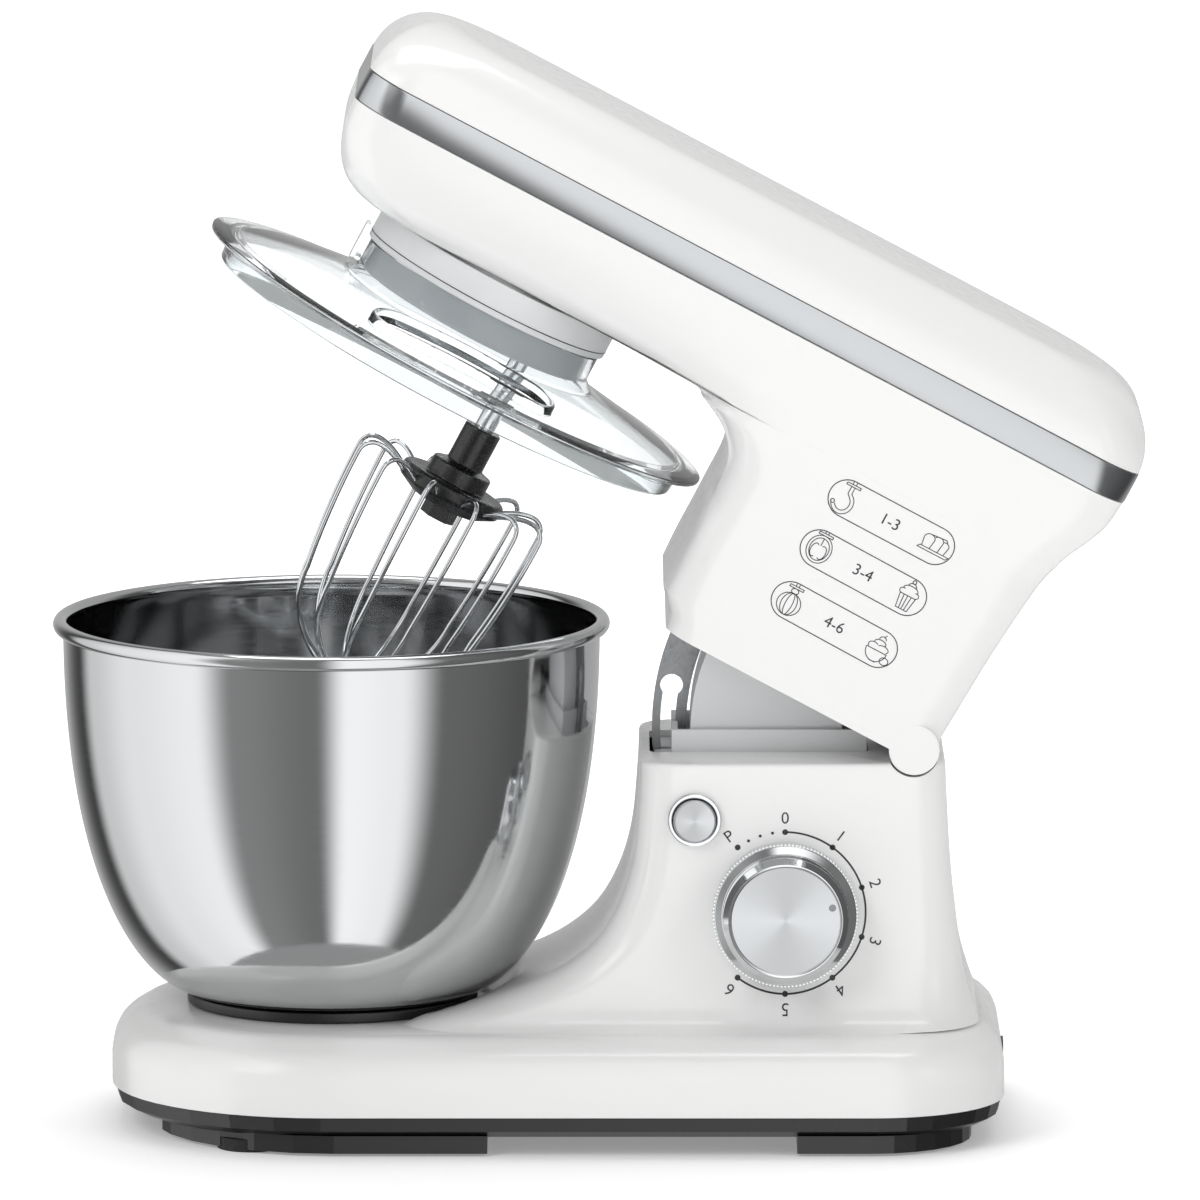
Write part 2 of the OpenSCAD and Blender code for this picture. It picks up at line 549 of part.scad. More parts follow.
module cord_gland() color("#1c1c1e") translate([base_rear - 6, 0, skirt_z + 9]) rotate([0, 90, 0]) difference() {
    union() { cylinder(r = 6, h = 6.8); translate([0, 0, -3]) cylinder(r = 8.4, h = 5); }
    translate([0, 0, -4]) cylinder(r = 3.4, h = 16);
}

// ---- Gear outlines ----
pressure = 20;
function involute(rb, r) = let (a = acos(min(1, rb / r))) tan(a) * 180 / PI - a;
// Outline of n involute teeth of size m, root radius rf, tip radius ra, each half tooth wider by extra degrees
function gear_points(n, m, rf, ra, extra) = let (rp = m * n / 2, rb = rp * cos(pressure), r0 = max(rb, rf))
    [for (i = [0:n - 1]) for (s = [-1, 1]) for (k = s < 0 ? [0:4] : [4:-1:0])
        let (r = k == 0 ? rf : r0 + (ra - r0) * (k - 1) / 3,
            a = 90 / n + extra - involute(rb, max(r, rb)) + involute(rb, rp), c = 360 * i / n + s * a)
        r * [cos(c), sin(c)]];
planet_backlash = 0.9;
ring_v = under_v - 10;
ring_h = 9;
planet_rp = planet_module * planet_teeth / 2;
ring_rp = planet_module * ring_teeth / 2;
ring_out = ring_rp + 6.5;
module ring_gear() color("#8a8d91") at_drive(ring_v) difference() {
    cylinder(r = ring_out, h = ring_h);
    translate([0, 0, -1]) linear_extrude(ring_h + 2) polygon(gear_points(ring_teeth, planet_module,
        ring_rp - 0.8 * planet_module, ring_rp + 1.35 * planet_module, 0.25));
}
module planet_gear() color("#7d8084") at_beater(ring_v + 1) difference() {
    linear_extrude(ring_h - 2) polygon(gear_points(planet_teeth, planet_module,
        planet_rp - 1.2 * planet_module, planet_rp + 0.85 * planet_module, -planet_backlash));
    translate([0, 0, -1]) cylinder(r = beater_shaft_d / 2, h = ring_h);
}

// ---- Drive ----
carrier_r = 6;
carrier_v = ring_v - 12;
carrier_t = 10;
carrier_disc_r = ring_out - 0.6;
beater_r = beater_shaft_d / 2;
module planet_carrier() color("#a5a8ac") at_drive(carrier_v) difference() {
    union() {
        cylinder(r = carrier_disc_r, h = carrier_t);
        cylinder(r = 9, h = carrier_t + ring_h + 1);
        translate([orbit, 0, -8]) cylinder(r = 12, h = 9);
    }
    translate([0, 0, -1]) cylinder(r = carrier_r, h = 40);
    translate([orbit, 0, -9]) cylinder(r = beater_r + 3, h = 30);
}
module beater_bushes() color("#b08d57") at_beater(carrier_v - 8) for (z = [0, 12])
    translate([0, 0, z]) ring(beater_r + run, beater_r + 3, 5.5);
shaft_low = -16;
shaft_top = ring_v + ring_h - 1.5;
hub_top = under_v - 61;
module beater_shaft() color("#c9ccd0") at_beater(hub_top - 12) difference() {
    cylinder(r = beater_r, h = shaft_top - hub_top + 12);
    translate([0, 0, 18]) rotate([90, 0, 0]) translate([0, 0, -10]) cylinder(r = 1.5, h = 20, $fn = 24);
}
module drive_pin() color("#c9ccd0") at_beater(hub_top + 6) rotate([90, 0, 0])
    translate([0, 0, -8]) cylinder(r = 1.5, h = 16, $fn = 24);
module carrier_shaft() color("silver") at_drive(carrier_v) cylinder(r = carrier_r, h = wheel_v + 8 - carrier_v);
wheel_rp = worm_module * wheel_teeth / 2;
wheel_h = 7;
module worm_wheel() color("#e8e2d0") at_drive(wheel_v) difference() {
    union() {
        translate([0, 0, -wheel_h / 2]) linear_extrude(wheel_h) polygon(gear_points(wheel_teeth, worm_module,
            wheel_rp - 1.2 * worm_module, wheel_rp + 0.85 * worm_module, -1));
        translate([0, 0, -wheel_h / 2 - 2]) cylinder(r = 10, h = wheel_h + 8);
    }
    translate([0, 0, -20]) cylinder(r = carrier_r, h = 40);
}
worm_y = wheel_rp + worm_d / 2;
// The motor's shaft lies along u, beside the wheel
module at_motor(u) { at_head() translate([-u, worm_y, wheel_v]) rotate([0, 90, 0]) children(); }
worm_turns = 6;
worm_pitch = PI * worm_module;
thread_half = [0.95, 0.35];
module worm_thread() {
    n = worm_turns * 18;
    r0 = worm_d / 2 - 1.5;
    r1 = worm_d / 2 + 0.8 * worm_module;
    stack([for (i = [0:n]) let (a = 360 * worm_turns * i / n, x = worm_pitch * (i / 18 - worm_turns / 2))
        [for (q = [[r0, -thread_half[0]], [r0, thread_half[0]], [r1, thread_half[1]], [r1, -thread_half[1]]])
            [q[0] * cos(a), q[0] * sin(a), x + q[1]]]]);
}
motor_u = [100, 160];
shaft_ends = [66, 258];
module worm_shaft() color("silver") {
    at_motor(shaft_ends[1]) cylinder(r = 3, h = shaft_ends[1] - shaft_ends[0]);
    at_motor(reach + 15) cylinder(r = worm_d / 2 - 1.4, h = 30);
    at_motor(reach) rotate(worm_phase) worm_thread();
}
worm_phase = 270;
module armature() color("#7a4a2c") at_motor(motor_u[1]) difference() {
    union() {
        translate([0, 0, 10]) linear_extrude(motor_u[1] - motor_u[0] - 20) difference() {
            circle(r = armature_d / 2);
            for (i = [0:11]) rotate(30 * i) translate([armature_d / 2 - 5, -0.9]) square([6, 1.8]);
        }
        translate([0, 0, 2]) cylinder(r = armature_d / 2 - 4, h = motor_u[1] - motor_u[0] - 4);
    }
    translate([0, 0, -1]) cylinder(r = 3, h = 80);
}
module commutator() color("#b87333") at_motor(motor_u[0] - 4) difference() {
    linear_extrude(14) difference() {
        circle(r = 9);
        for (i = [0:11]) rotate(30 * i + 15) translate([8, -0.3]) square([2, 0.6]);
    }
    translate([0, 0, -1]) cylinder(r = 3, h = 20);
}
module cooling_fan() color("#2b2d30") at_motor(motor_u[1] + 12) difference() {
    union() {
        cylinder(r = 22, h = 1.6);
        cylinder(r = 6, h = 9);
        for (i = [0:8]) rotate(40 * i) translate([5, -0.6, 0]) cube([16.5, 1.2, 8.5]);
    }
    translate([0, 0, -1]) cylinder(r = 3, h = 20);
}
stator_half = 26;
module motor_stator() color("#6f7276") at_motor(motor_u[1] - 8) linear_extrude(motor_u[1] - motor_u[0] - 16)
    difference() {
        square(2 * stator_half, center = true);
        circle(r = armature_d / 2 + 0.8);
        for (s = [-1, 1]) translate([0, s * 17.4]) square([22, 7], center = true);
    }
module motor_windings() color("#b5632f") for (s = [-1, 1]) at_motor(motor_u[1] - 1) {
    for (q = [-1, 1]) translate([q * 9.2, s * 17.4, 0]) translate([-1.6, -3.2, 0]) cube([3.2, 6.4, 58]);
    for (z = [0, 53]) translate([-10.8, s * 17.4 - 3.2, z]) cube([21.6, 6.4, 5]);
}
frame_u = [70, 182];
module motor_frames() color("#9ea1a5") {
    for (u = frame_u) at_motor(u) linear_extrude(3) difference() {
        union() {
            translate([-stator_half - 4, -stator_half]) square([2 * stator_half + 4, 2 * stator_half]);
            translate([-4, 0]) square([stator_half + 4, half_w - 4.5 - worm_y]);
        }
        circle(r = 8);
        for (a = [45:90:315]) rotate(a) translate([20, 0]) circle(r = 5);
    }
    for (s = [-1, 1]) at_motor(frame_u[1]) translate([-stator_half - 2.1, s * 20, 0])
        cylinder(r = 2, h = frame_u[1] - frame_u[0]);
}
module carbon_brushes() color("#33353a") at_motor(motor_u[0] - 14) for (s = [-1, 1])
    translate([-3, s > 0 ? 9.2 : -22.2, 2]) cube([6, 13, 8]);
bearing_u = [frame_u[0], frame_u[1], reach + 24];
module shaft_bearings() color("#a8abb0") {
    for (u = bearing_u) at_motor(u + 1) ring(3 + run, 8, 5);
    for (v = bearing_v) at_drive(v) ring(carrier_r + run, 11, 6);
}
bearing_v = [under_v + 8, wheel_v - 16];
case_floor = under_v + wall + 0.2;
case_r = collar_d / 2 - 8;
module gearbox_housing() color("#96999d") {
    at_drive(0) {
        translate([0, 0, case_floor]) ring(11, case_r, 3.5);
        translate([0, 0, under_v + 6]) ring(11, 14, wheel_v - 10 - under_v - 6);
    }
    at_head() difference() {
        translate([-reach - 29, worm_y - 12, case_floor]) cube([8, 24, wheel_v - case_floor + 12]);
        translate([-reach - 40, worm_y, wheel_v]) rotate([0, 90, 0]) cylinder(r = 8, h = 30);
    }
}
module collar() color("#e3e4e6") at_drive(0) {
    translate([0, 0, under_v - 14]) ring(ring_out + 1, collar_d / 2, 13.2);
    translate([0, 0, under_v - 0.8]) ring(ring_out + 1, collar_d / 2 - 6.3, 3.5);
}
module head_screws() color("silver") at_head() screw_places(under_v + 12) {
    cylinder(r = 3.2, h = 2.4);
    cylinder(r = screw_r, h = 34);
}

// ---- Splash guard ----
guard_top = under_v - 14.4;
guard_rim = under_v - 38.5;
guard_out = guard_d / 2;
neck_r = collar_d / 2 - 1.5;
guard_profile = [[neck_r - guard_t, guard_top], [neck_r, guard_top], [neck_r, guard_top - 10],
    [neck_r + 4, guard_top - 14], [guard_out - 12, guard_rim + 2.6], [guard_out - 3, guard_rim + 1.2],
    [guard_out, guard_rim + 0.4], [guard_out - 0.4, guard_rim - 1.6], [guard_out - 8, guard_rim - 0.8],
    [guard_out - 9, guard_rim - 10], [guard_out - 9 - guard_t, guard_rim - 10],
    [guard_out - 9 - guard_t, guard_rim + 0.4], [neck_r + 3, guard_top - 16.2], [neck_r - guard_t, guard_top - 11]];
feed_r = neck_r + 24;
feed_half = [40, 11.5];
module feed_shape(grow) { translate([0, -feed_r]) {
    square([2 * (feed_half[0] - feed_half[1]), 2 * (feed_half[1] + grow)], center = true);
    for (s = [-1, 1]) translate([s * (feed_half[0] - feed_half[1]), 0]) circle(r = feed_half[1] + grow);
} }
module splash_guard() color([0.85, 0.88, 0.9, 0.45]) at_drive(0) {
    difference() {
        rotate_extrude($fn = 96) polygon(guard_profile);
        translate([0, 0, guard_rim - 12]) linear_extrude(40) feed_shape(0);
    }
    difference() {
        translate([0, 0, guard_rim + 0.6]) linear_extrude(11) difference() { feed_shape(0.2); feed_shape(-2); }
        rotate_extrude($fn = 96) polygon([[neck_r - 6, guard_rim - 30], [neck_r - 6, guard_top - 12],
            [neck_r + 4, guard_top - 16], [guard_out - 10, guard_rim + 0.5], [guard_out, guard_rim - 30]]);
    }
    translate([-collar_d / 2 - 3, -7, guard_top - 12]) cube([2, 14, 17]);
    translate([-collar_d / 2 - 3, -7, guard_top - 12]) cube([5.5, 14, 2.5]);
}

// ---- Whisk ----
disc_v = hub_top - 30;
wire_r = wire_d / 2;
module whisk_hub() color("#1b1b1d") at_beater(0) difference() {
    union() {
        translate([0, 0, hub_top - 17]) cylinder(r = 7.6, h = 17);
        translate([0, 0, hub_top - 24]) cylinder(r = 12.5, h = 8);
        translate([0, 0, disc_v]) rotate_extrude() polygon([[0, -4], [14, -4], [21.5, 0], [22, 1.5],
            [22, 5], [20.5, 6.2], [0, 6.2]]);
    }
    translate([0, 0, hub_top - 12]) cylinder(r = beater_r + run, h = 40);
}
module whisk_nut() color("#1b1b1d") at_beater(disc_v - 10) cylinder(r = 7.2, h = 6, $fn = 6);
// Height of the whisk's longest loop over the bowl's floor with the head closed
floor_gap = 11;
whisk_low = bowl_low + bowl_t + floor_gap + wire_r + 0.35 * (loops - 1) * wire_d - hinge_z;
// Half of a loop, from the hub's edge over the shoulder to the lowest point on the axis
function loop_point(t) = t < 0.2
    ? let (k = t / 0.2) [21 + (whisk_r - 21 - 6) * k, disc_v + 1.5 + 5 * sin(90 * k)]
    : t < 0.34 ? let (a = 90 * (t - 0.2) / 0.14) [whisk_r - 6 + 6 * sin(a), disc_v + 0.5 + 6 * cos(a)]
    : t < 0.6 ? let (k = (t - 0.34) / 0.26) [whisk_r - 4 * k * k, disc_v + 0.5 - 50 * k]
    : let (a = 90 * (t - 0.6) / 0.4, d = whisk_r - 4) [d * cos(a), disc_v - 49.5 - (disc_v - 49.5 - whisk_low) * sin(a)];
half_steps = 18;
function loop_path(i) = let (drop = 0.35 * i * wire_d) concat(
    [for (k = [0:half_steps]) let (p = loop_point(k / half_steps)) [p.x, p.y - (k / half_steps > 0.6
        ? drop * (k / half_steps - 0.6) / 0.4 : 0)]],
    [for (k = [half_steps - 1:-1:0]) let (p = loop_point(k / half_steps)) [-p.x, p.y - (k / half_steps > 0.6
        ? drop * (k / half_steps - 0.6) / 0.4 : 0)]]);
module flat_tube(path, r, sides) {
    n = len(path) - 1;
    stack([for (i = [0:n]) let (d = path[min(n, i + 1)] - path[max(0, i - 1)], q = [-d.y, d.x] / norm(d))
        [for (j = [0:sides - 1]) let (b = -360 * j / sides)
            [path[i].x + q.x * r * cos(b), r * sin(b), path[i].y + q.y * r * cos(b)]]]);
}
module whisk_wires() color("#c9ccd0") at_beater(0) for (i = [0:loops - 1])
    rotate(15 + 180 * i / loops) flat_tube(loop_path(i), wire_r, 8);

// ---- What is drawn ----
base_housing();
bottom_plate();
rubber_feet();
base_screws();
bowl_seat();
column_frame();
hinge_bracket();
hinge_bushes();
lock_bezel();
lock_guide();
dial_ring();
speed_switch();
switch_nut();
control_board();
board_posts();
board_screws();
cord_gland();
lock_button();
lock_slide();
lock_spring();
knob_body();
knob_cap();
switch_shaft();
bowl();
bowl_foot();
head_lower_shell();
head_top_cover();
trim_band();
inner_shield();
lock_plate();
hinge_pin();
collar();
gearbox_housing();
ring_gear();
motor_stator();
motor_windings();
motor_frames();
carbon_brushes();
head_screws();
shaft_bearings();
armature();
worm_shaft();
commutator();
cooling_fan();
worm_wheel();
carrier_shaft();
planet_carrier();
beater_bushes();
planet_gear();
beater_shaft();
drive_pin();
whisk_hub();
whisk_nut();
whisk_wires();
splash_guard();
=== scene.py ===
import json
import math
import bpy
import bmesh
from mathutils import Matrix, Vector
from mathutils.bvhtree import BVHTree


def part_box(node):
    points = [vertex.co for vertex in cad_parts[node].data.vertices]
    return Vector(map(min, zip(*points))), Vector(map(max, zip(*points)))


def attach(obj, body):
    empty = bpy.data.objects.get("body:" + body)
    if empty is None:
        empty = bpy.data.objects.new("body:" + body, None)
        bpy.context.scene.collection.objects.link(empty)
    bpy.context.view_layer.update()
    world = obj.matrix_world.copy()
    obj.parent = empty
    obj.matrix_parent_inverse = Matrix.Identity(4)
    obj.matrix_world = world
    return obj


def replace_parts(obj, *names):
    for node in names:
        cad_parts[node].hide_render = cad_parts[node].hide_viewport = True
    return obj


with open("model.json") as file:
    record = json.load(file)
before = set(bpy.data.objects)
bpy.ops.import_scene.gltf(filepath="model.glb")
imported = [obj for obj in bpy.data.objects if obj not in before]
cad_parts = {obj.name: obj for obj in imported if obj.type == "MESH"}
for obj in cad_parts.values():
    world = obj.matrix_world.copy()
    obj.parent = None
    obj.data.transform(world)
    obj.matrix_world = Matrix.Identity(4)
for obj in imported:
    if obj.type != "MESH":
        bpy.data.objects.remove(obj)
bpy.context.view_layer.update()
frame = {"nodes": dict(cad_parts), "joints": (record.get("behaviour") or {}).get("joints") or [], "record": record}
nodes = frame["nodes"]
mm = 0.001

# where things are, from the frame

joints = {j["name"]: j for j in frame["joints"]}
hinge = Vector(joints["head_tilt"]["pos_m"])
driveAxis = Vector(joints["carrier_spin"]["axis"])
tilt = math.atan2(driveAxis.x, driveAxis.z)
headPlace = Matrix.Translation(hinge) @ Matrix.Rotation(tilt, 4, "Y")
bowlX = joints["bowl_turn"]["pos_m"][0]
knobAt = Vector(joints["speed_knob"]["pos_m"])
# the drive's and beater's axes, in the closed head's own frame
driveLocal = headPlace.inverted() @ Vector(joints["carrier_spin"]["pos_m"])
beaterLocal = headPlace.inverted() @ Vector(joints["beater_spin"]["pos_m"])
driveX, beaterX = driveLocal.x, beaterLocal.x


def lowHigh(node):
    low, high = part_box(node)
    return Vector(low), Vector(high)


# small helpers

def linear(hexText):
    # sRGB hex to linear, alpha 1
    channels = [int(hexText[i:i + 2], 16) / 255 for i in (1, 3, 5)]
    return [c / 12.92 if c <= 0.04045 else ((c + 0.055) / 1.055) ** 2.4 for c in channels] + [1]


def addNode(tree, kind, settings=None, inputs=None, links=None):
    # settings are properties, inputs are socket values, links are socket -> (node, output)
    node = tree.nodes.new(kind)
    for key, value in (settings or {}).items():
        setattr(node, key, value)
    for key, value in (inputs or {}).items():
        node.inputs[key].default_value = value
    for key, (source, output) in (links or {}).items():
        tree.links.new(source.outputs[output], node.inputs[key])
    return node


def material(name, settings):
    # a Principled material; returns it with its tree, shader and Object coordinates
    mat = bpy.data.materials.new(name)
    mat.use_nodes = True
    tree = mat.node_tree
    shader = tree.nodes["Principled BSDF"]
    for key, value in settings.items():
        shader.inputs[key].default_value = linear(value) if isinstance(value, str) else value
    place = addNode(tree, "ShaderNodeTexCoord")
    return mat, tree, shader, place


def meshObject(name, verts, faces, edges=()):
    mesh = bpy.data.meshes.new(name)
    mesh.from_pydata([tuple(v) for v in verts], list(edges), faces)
    obj = bpy.data.objects.new(name, mesh)
    bpy.context.collection.objects.link(obj)
    return obj


def newPiece(name, verts, faces, body, mat):
    piece = meshObject(name, verts, faces)
    tidyMesh(piece.data)
    for p in piece.data.polygons:
        p.use_smooth = True
    piece.data.materials.append(mat)
    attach(piece, body)
    return piece


def tidyMesh(mesh, distance=1e-6):
    bm = bmesh.new()
    bm.from_mesh(mesh)
    bmesh.ops.remove_doubles(bm, verts=bm.verts, dist=distance)
    bmesh.ops.recalc_face_normals(bm, faces=bm.faces)
    bm.to_mesh(mesh)
    bm.free()


def applyModifiers(piece):
    depsgraph = bpy.context.evaluated_depsgraph_get()
    plain = bpy.data.meshes.new_from_object(piece.evaluated_get(depsgraph))
    piece.modifiers.clear()
    piece.data = plain


def sharpen(piece, degrees=35):
    # smooth faces with sharp edges kept above an angle
    bm = bmesh.new()
    bm.from_mesh(piece.data)
    for edge in bm.edges:
        edge.smooth = not (len(edge.link_faces) == 2 and edge.calc_face_angle(0) > math.radians(degrees))
    for face in bm.faces:
        face.smooth = True
    bm.to_mesh(piece.data)
    bm.free()
    return piece


def lathe(name, profile, place, body, mat, steps=128, angle=35):
    # profile is [(radius, height)], place puts the axis and the origin
    verts, faces = [], []
    count = len(profile)
    for i in range(steps):
        a = 2 * math.pi * i / steps
        for r, z in profile:
            verts.append(place @ Vector((r * math.cos(a), r * math.sin(a), z)))
    for i in range(steps):
        for k in range(count - 1):
            a, b = i * count + k, i * count + k + 1
            c, d = (i + 1) % steps * count + k + 1, (i + 1) % steps * count + k
            faces.append((a, b, c, d))
    return sharpen(newPiece(name, verts, faces, body, mat), angle)


def roundedProfile(points, radius, steps=5):
    # rounds each inner corner of an open outline
    out = [Vector(points[0])]
    for i in range(1, len(points) - 1):
        before, here, after = Vector(points[i - 1]), Vector(points[i]), Vector(points[i + 1])
        toBefore, toAfter = before - here, after - here
        reach = min(radius, toBefore.length * 0.45, toAfter.length * 0.45)
        start, end = here + toBefore.normalized() * reach, here + toAfter.normalized() * reach
        for k in range(steps + 1):
            t = k / steps
            out.append(start * (1 - t) ** 2 + here * 2 * t * (1 - t) + end * t ** 2)
    out.append(Vector(points[-1]))
    return [tuple(p) for p in out]


def spline(rows, parts):
    # Catmull-Rom through rows of numbers, evenly stepped in each span
    out = []
    for i in range(len(rows) - 1):
        p0, p1, p2, p3 = rows[max(i - 1, 0)], rows[i], rows[i + 1], rows[min(i + 2, len(rows) - 1)]
        for k in range(parts):
            t = k / parts
            out.append([0.5 * (2 * b + (c - a) * t + (2 * a - 5 * b + 4 * c - d) * t * t
                               + (3 * b - a - 3 * c + d) * t ** 3) for a, b, c, d in zip(p0, p1, p2, p3)])
    out.append(list(rows[-1]))
    return out


def outline(x0, x1, w, r0, r1, corner=14, edge=16):
    # rounded rectangle, counterclockwise from above, starting at the front near corner
    points = []

    def arc(cx, cy, r, start):
        for i in range(corner + 1):
            a = math.radians(start + 90 * i / corner)
            points.append((cx + r * math.cos(a), cy + r * math.sin(a)))

    def line(ax, ay, bx, by, n):
        for i in range(1, n):
            points.append((ax + (bx - ax) * i / n, ay + (by - ay) * i / n))

    arc(x0 + r0, r0 - w, r0, 180)
    line(x0 + r0, -w, x1 - r1, -w, edge)
    arc(x1 - r1, r1 - w, r1, 270)
    line(x1, r1 - w, x1, w - r1, edge)
    arc(x1 - r1, w - r1, r1, 0)
    line(x1 - r1, w, x0 + r0, w, edge)
    arc(x0 + r0, w - r0, r0, 90)
    line(x0, w - r0, x0, r0 - w, edge)
    return points


def ringStack(rings, looped=True):
    # vertices and faces of a closed shell through rings of equal point count
    n, count = len(rings[0]), len(rings)
    verts = [Vector(p) for ring in rings for p in ring]
    faces = []
    for k in range(count if looped else count - 1):
        for i in range(n):
            a, b = k * n + i, k * n + (i + 1) % n
            c, d = (k + 1) % count * n + (i + 1) % n, (k + 1) % count * n + i
            faces.append((a, b, c, d))
    if not looped:
        for k in (0, count - 1):
            verts.append(sum((Vector(p) for p in rings[k]), Vector()) / n)
            centre = len(verts) - 1
            faces += [(k * n + i, k * n + (i + 1) % n, centre) for i in range(n)]
    return verts, faces


def cutWith(piece, cutters):
    # takes the cutters' volume out of the piece and deletes them
    for cutter in cutters:
        mod = piece.modifiers.new("cut", "BOOLEAN")
        mod.operation, mod.object, mod.solver = "DIFFERENCE", cutter, "EXACT"
    applyModifiers(piece)
    for cutter in cutters:
        bpy.data.objects.remove(cutter)


def cutterThrough(rings):
    verts, faces = ringStack(rings, looped=False)
    cutter = meshObject("cutter", verts, faces)
    tidyMesh(cutter.data)
    return cutter


def circlePoints(radius, steps):
    angles = [2 * math.pi * i / steps for i in range(steps)]
    return [(radius * math.cos(a), radius * math.sin(a)) for a in angles]


def rodCutter(radius, place, y0, y1, steps=96):
    # a rod along Y
    return cutterThrough([[place @ Vector((x, y, z)) for x, z in circlePoints(radius, steps)] for y in (y0, y1)])


def addBump(tree, shader, source, strength, distance):
    bump = addNode(tree, "ShaderNodeBump", inputs={"Strength": strength, "Distance": distance},
                   links={"Height": (source, "Fac")})
    tree.links.new(bump.outputs["Normal"], shader.inputs["Normal"])


print("frame loaded, tilt", round(math.degrees(tilt), 2))

# camera, floor and lights

studio = {
    "elevation": 8.69, "distance": 5.442, "lens": 413.6, "aim": (0.0005, 0, 0.2059), "wall": 0.85, "floor": 40,
    # brightness round the reflection wall, from the left side (0) through the camera (0.25) and the right (0.5)
    "bands": [(0.0, 1.25), (0.09, 1.4), (0.14, 0.34), (0.235, 0.24), (0.272, 1.5), (0.33, 1.4), (0.385, 0.2),
              (0.54, 0.1), (0.63, 0.5), (0.8, 0.5), (0.885, 0.08), (0.92, 0.9), (1.0, 1.25)]}


def makeStudio():
    scene = bpy.context.scene
    camera = bpy.data.objects.new("camera", bpy.data.cameras.new("camera"))
    bpy.context.collection.objects.link(camera)
    camera.data.lens = studio["lens"]
    camera.data.sensor_width = 36
    camera.data.clip_end = 50
    rise = math.radians(studio["elevation"])
    camera.location = Vector(studio["aim"]) + studio["distance"] * Vector((0, -math.cos(rise), math.sin(rise)))
    camera.rotation_euler = (math.radians(90) - rise, 0, 0)
    scene.camera = camera

    floorMat, tree, shader, place = material("pale studio floor, matt paper", {
        "Base Color": "#F8F8F8", "Roughness": 0.9, "Emission Color": "#FFFFFF"})
    # the paper glows more further out, so that it stays white where the lamps don't reach
    reach = addNode(tree, "ShaderNodeVectorMath", {"operation": "LENGTH"}, links={0: (place, "Object")})
    glow = addNode(tree, "ShaderNodeMapRange", links={"Value": (reach, "Value")},
                   inputs={"From Min": 0.4, "From Max": 1.6, "To Min": 0.25, "To Max": 0.66})
    tree.links.new(glow.outputs["Result"], shader.inputs["Emission Strength"])
    grain = addNode(tree, "ShaderNodeTexNoise", inputs={"Scale": 900}, links={"Vector": (place, "Object")})
    addBump(tree, shader, grain, 0.02, 0.0005)
    half = studio["floor"]
    corners = [(-half, -half, 0), (half, -half, 0), (half, half, 0), (-half, half, 0)]
    floor = meshObject("floor", corners, [(0, 1, 2, 3)])
    floor.data.materials.append(floorMat)
    floor.visible_glossy = False

    # a round wall of light and shade that only reflections see, so the steel carries soft upright bands
    wallMat = bpy.data.materials.new("reflection wall")
    wallMat.use_nodes = True
    tree = wallMat.node_tree
    tree.nodes.clear()
    place = addNode(tree, "ShaderNodeTexCoord")
    sweep = addNode(tree, "ShaderNodeTexGradient", {"gradient_type": "RADIAL"}, links={"Vector": (place, "Object")})
    ramp = addNode(tree, "ShaderNodeValToRGB", links={"Fac": (sweep, "Fac")})
    ramp.color_ramp.interpolation = "EASE"
    bands = studio["bands"]
    while len(ramp.color_ramp.elements) < len(bands):
        ramp.color_ramp.elements.new(0.5)
    for stop, (at, level) in zip(ramp.color_ramp.elements, bands):
        stop.position, stop.color = at, (level, level, level, 1)
    glow = addNode(tree, "ShaderNodeEmission", links={"Color": (ramp, "Color")})
    out = addNode(tree, "ShaderNodeOutputMaterial")
    tree.links.new(glow.outputs["Emission"], out.inputs["Surface"])
    steps = 96
    verts = [(x, y, z) for z in (-1.2, 1.6) for x, y in circlePoints(studio["wall"], steps)]
    faces = [(i, (i + 1) % steps, steps + (i + 1) % steps, steps + i) for i in range(steps)]
    wall = meshObject("reflection wall", verts, faces)
    wall.data.materials.append(wallMat)
    wall.location = (bowlX, 0, 0)
    wall.visible_camera = wall.visible_diffuse = wall.visible_shadow = wall.visible_transmission = False

    def area(name, at, aim, size, power):
        light = bpy.data.lights.new(name, "AREA")
        light.shape, light.size, light.size_y, light.energy = "RECTANGLE", size[0], size[1], power
        obj = bpy.data.objects.new(name, light)
        bpy.context.collection.objects.link(obj)
        obj.location = at
        obj.rotation_euler = (Vector(aim) - Vector(at)).to_track_quat("-Z", "Y").to_euler()

    area("key", (-1.5, -1.7, 1.9), (0, 0, 0.2), (1.0, 1.6), 21)
    area("fill", (1.9, -1.5, 1.1), (0, 0, 0.2), (0.7, 1.6), 8)
    area("top", (0.1, 0.4, 2.3), (0, 0, 0.2), (1.8, 1.2), 21)
    area("back", (0.6, 2.2, 1.2), (0, 0, 0.3), (2.0, 1.0), 8)
    world = bpy.data.worlds.new("studio")
    scene.world = world
    world.use_nodes = True
    world.node_tree.nodes["Background"].inputs["Color"].default_value = linear("#FFFFFF")
    world.node_tree.nodes["Background"].inputs["Strength"].default_value = 0.42
    scene.view_settings.view_transform = "Standard"
    print("studio made")


makeStudio()

# materials


def noiseRoughness(tree, shader, place, scale, low, high, bump=0.0, distance=0.0001, stretch=(1, 1, 1)):
    # roughness that wanders between low and high, and an optional bump of the same pattern
    mapping = addNode(tree, "ShaderNodeMapping", inputs={"Scale": stretch}, links={"Vector": (place, "Object")})
    noise = addNode(tree, "ShaderNodeTexNoise", inputs={"Scale": scale, "Detail": 3},
                    links={"Vector": (mapping, "Vector")})
    ramp = addNode(tree, "ShaderNodeMapRange", inputs={"From Min": 0.3, "From Max": 0.7, "To Min": low, "To Max": high},
                   links={"Value": (noise, "Fac")})
    tree.links.new(ramp.outputs["Result"], shader.inputs["Roughness"])
    if bump:
        addBump(tree, shader, noise, bump, distance)


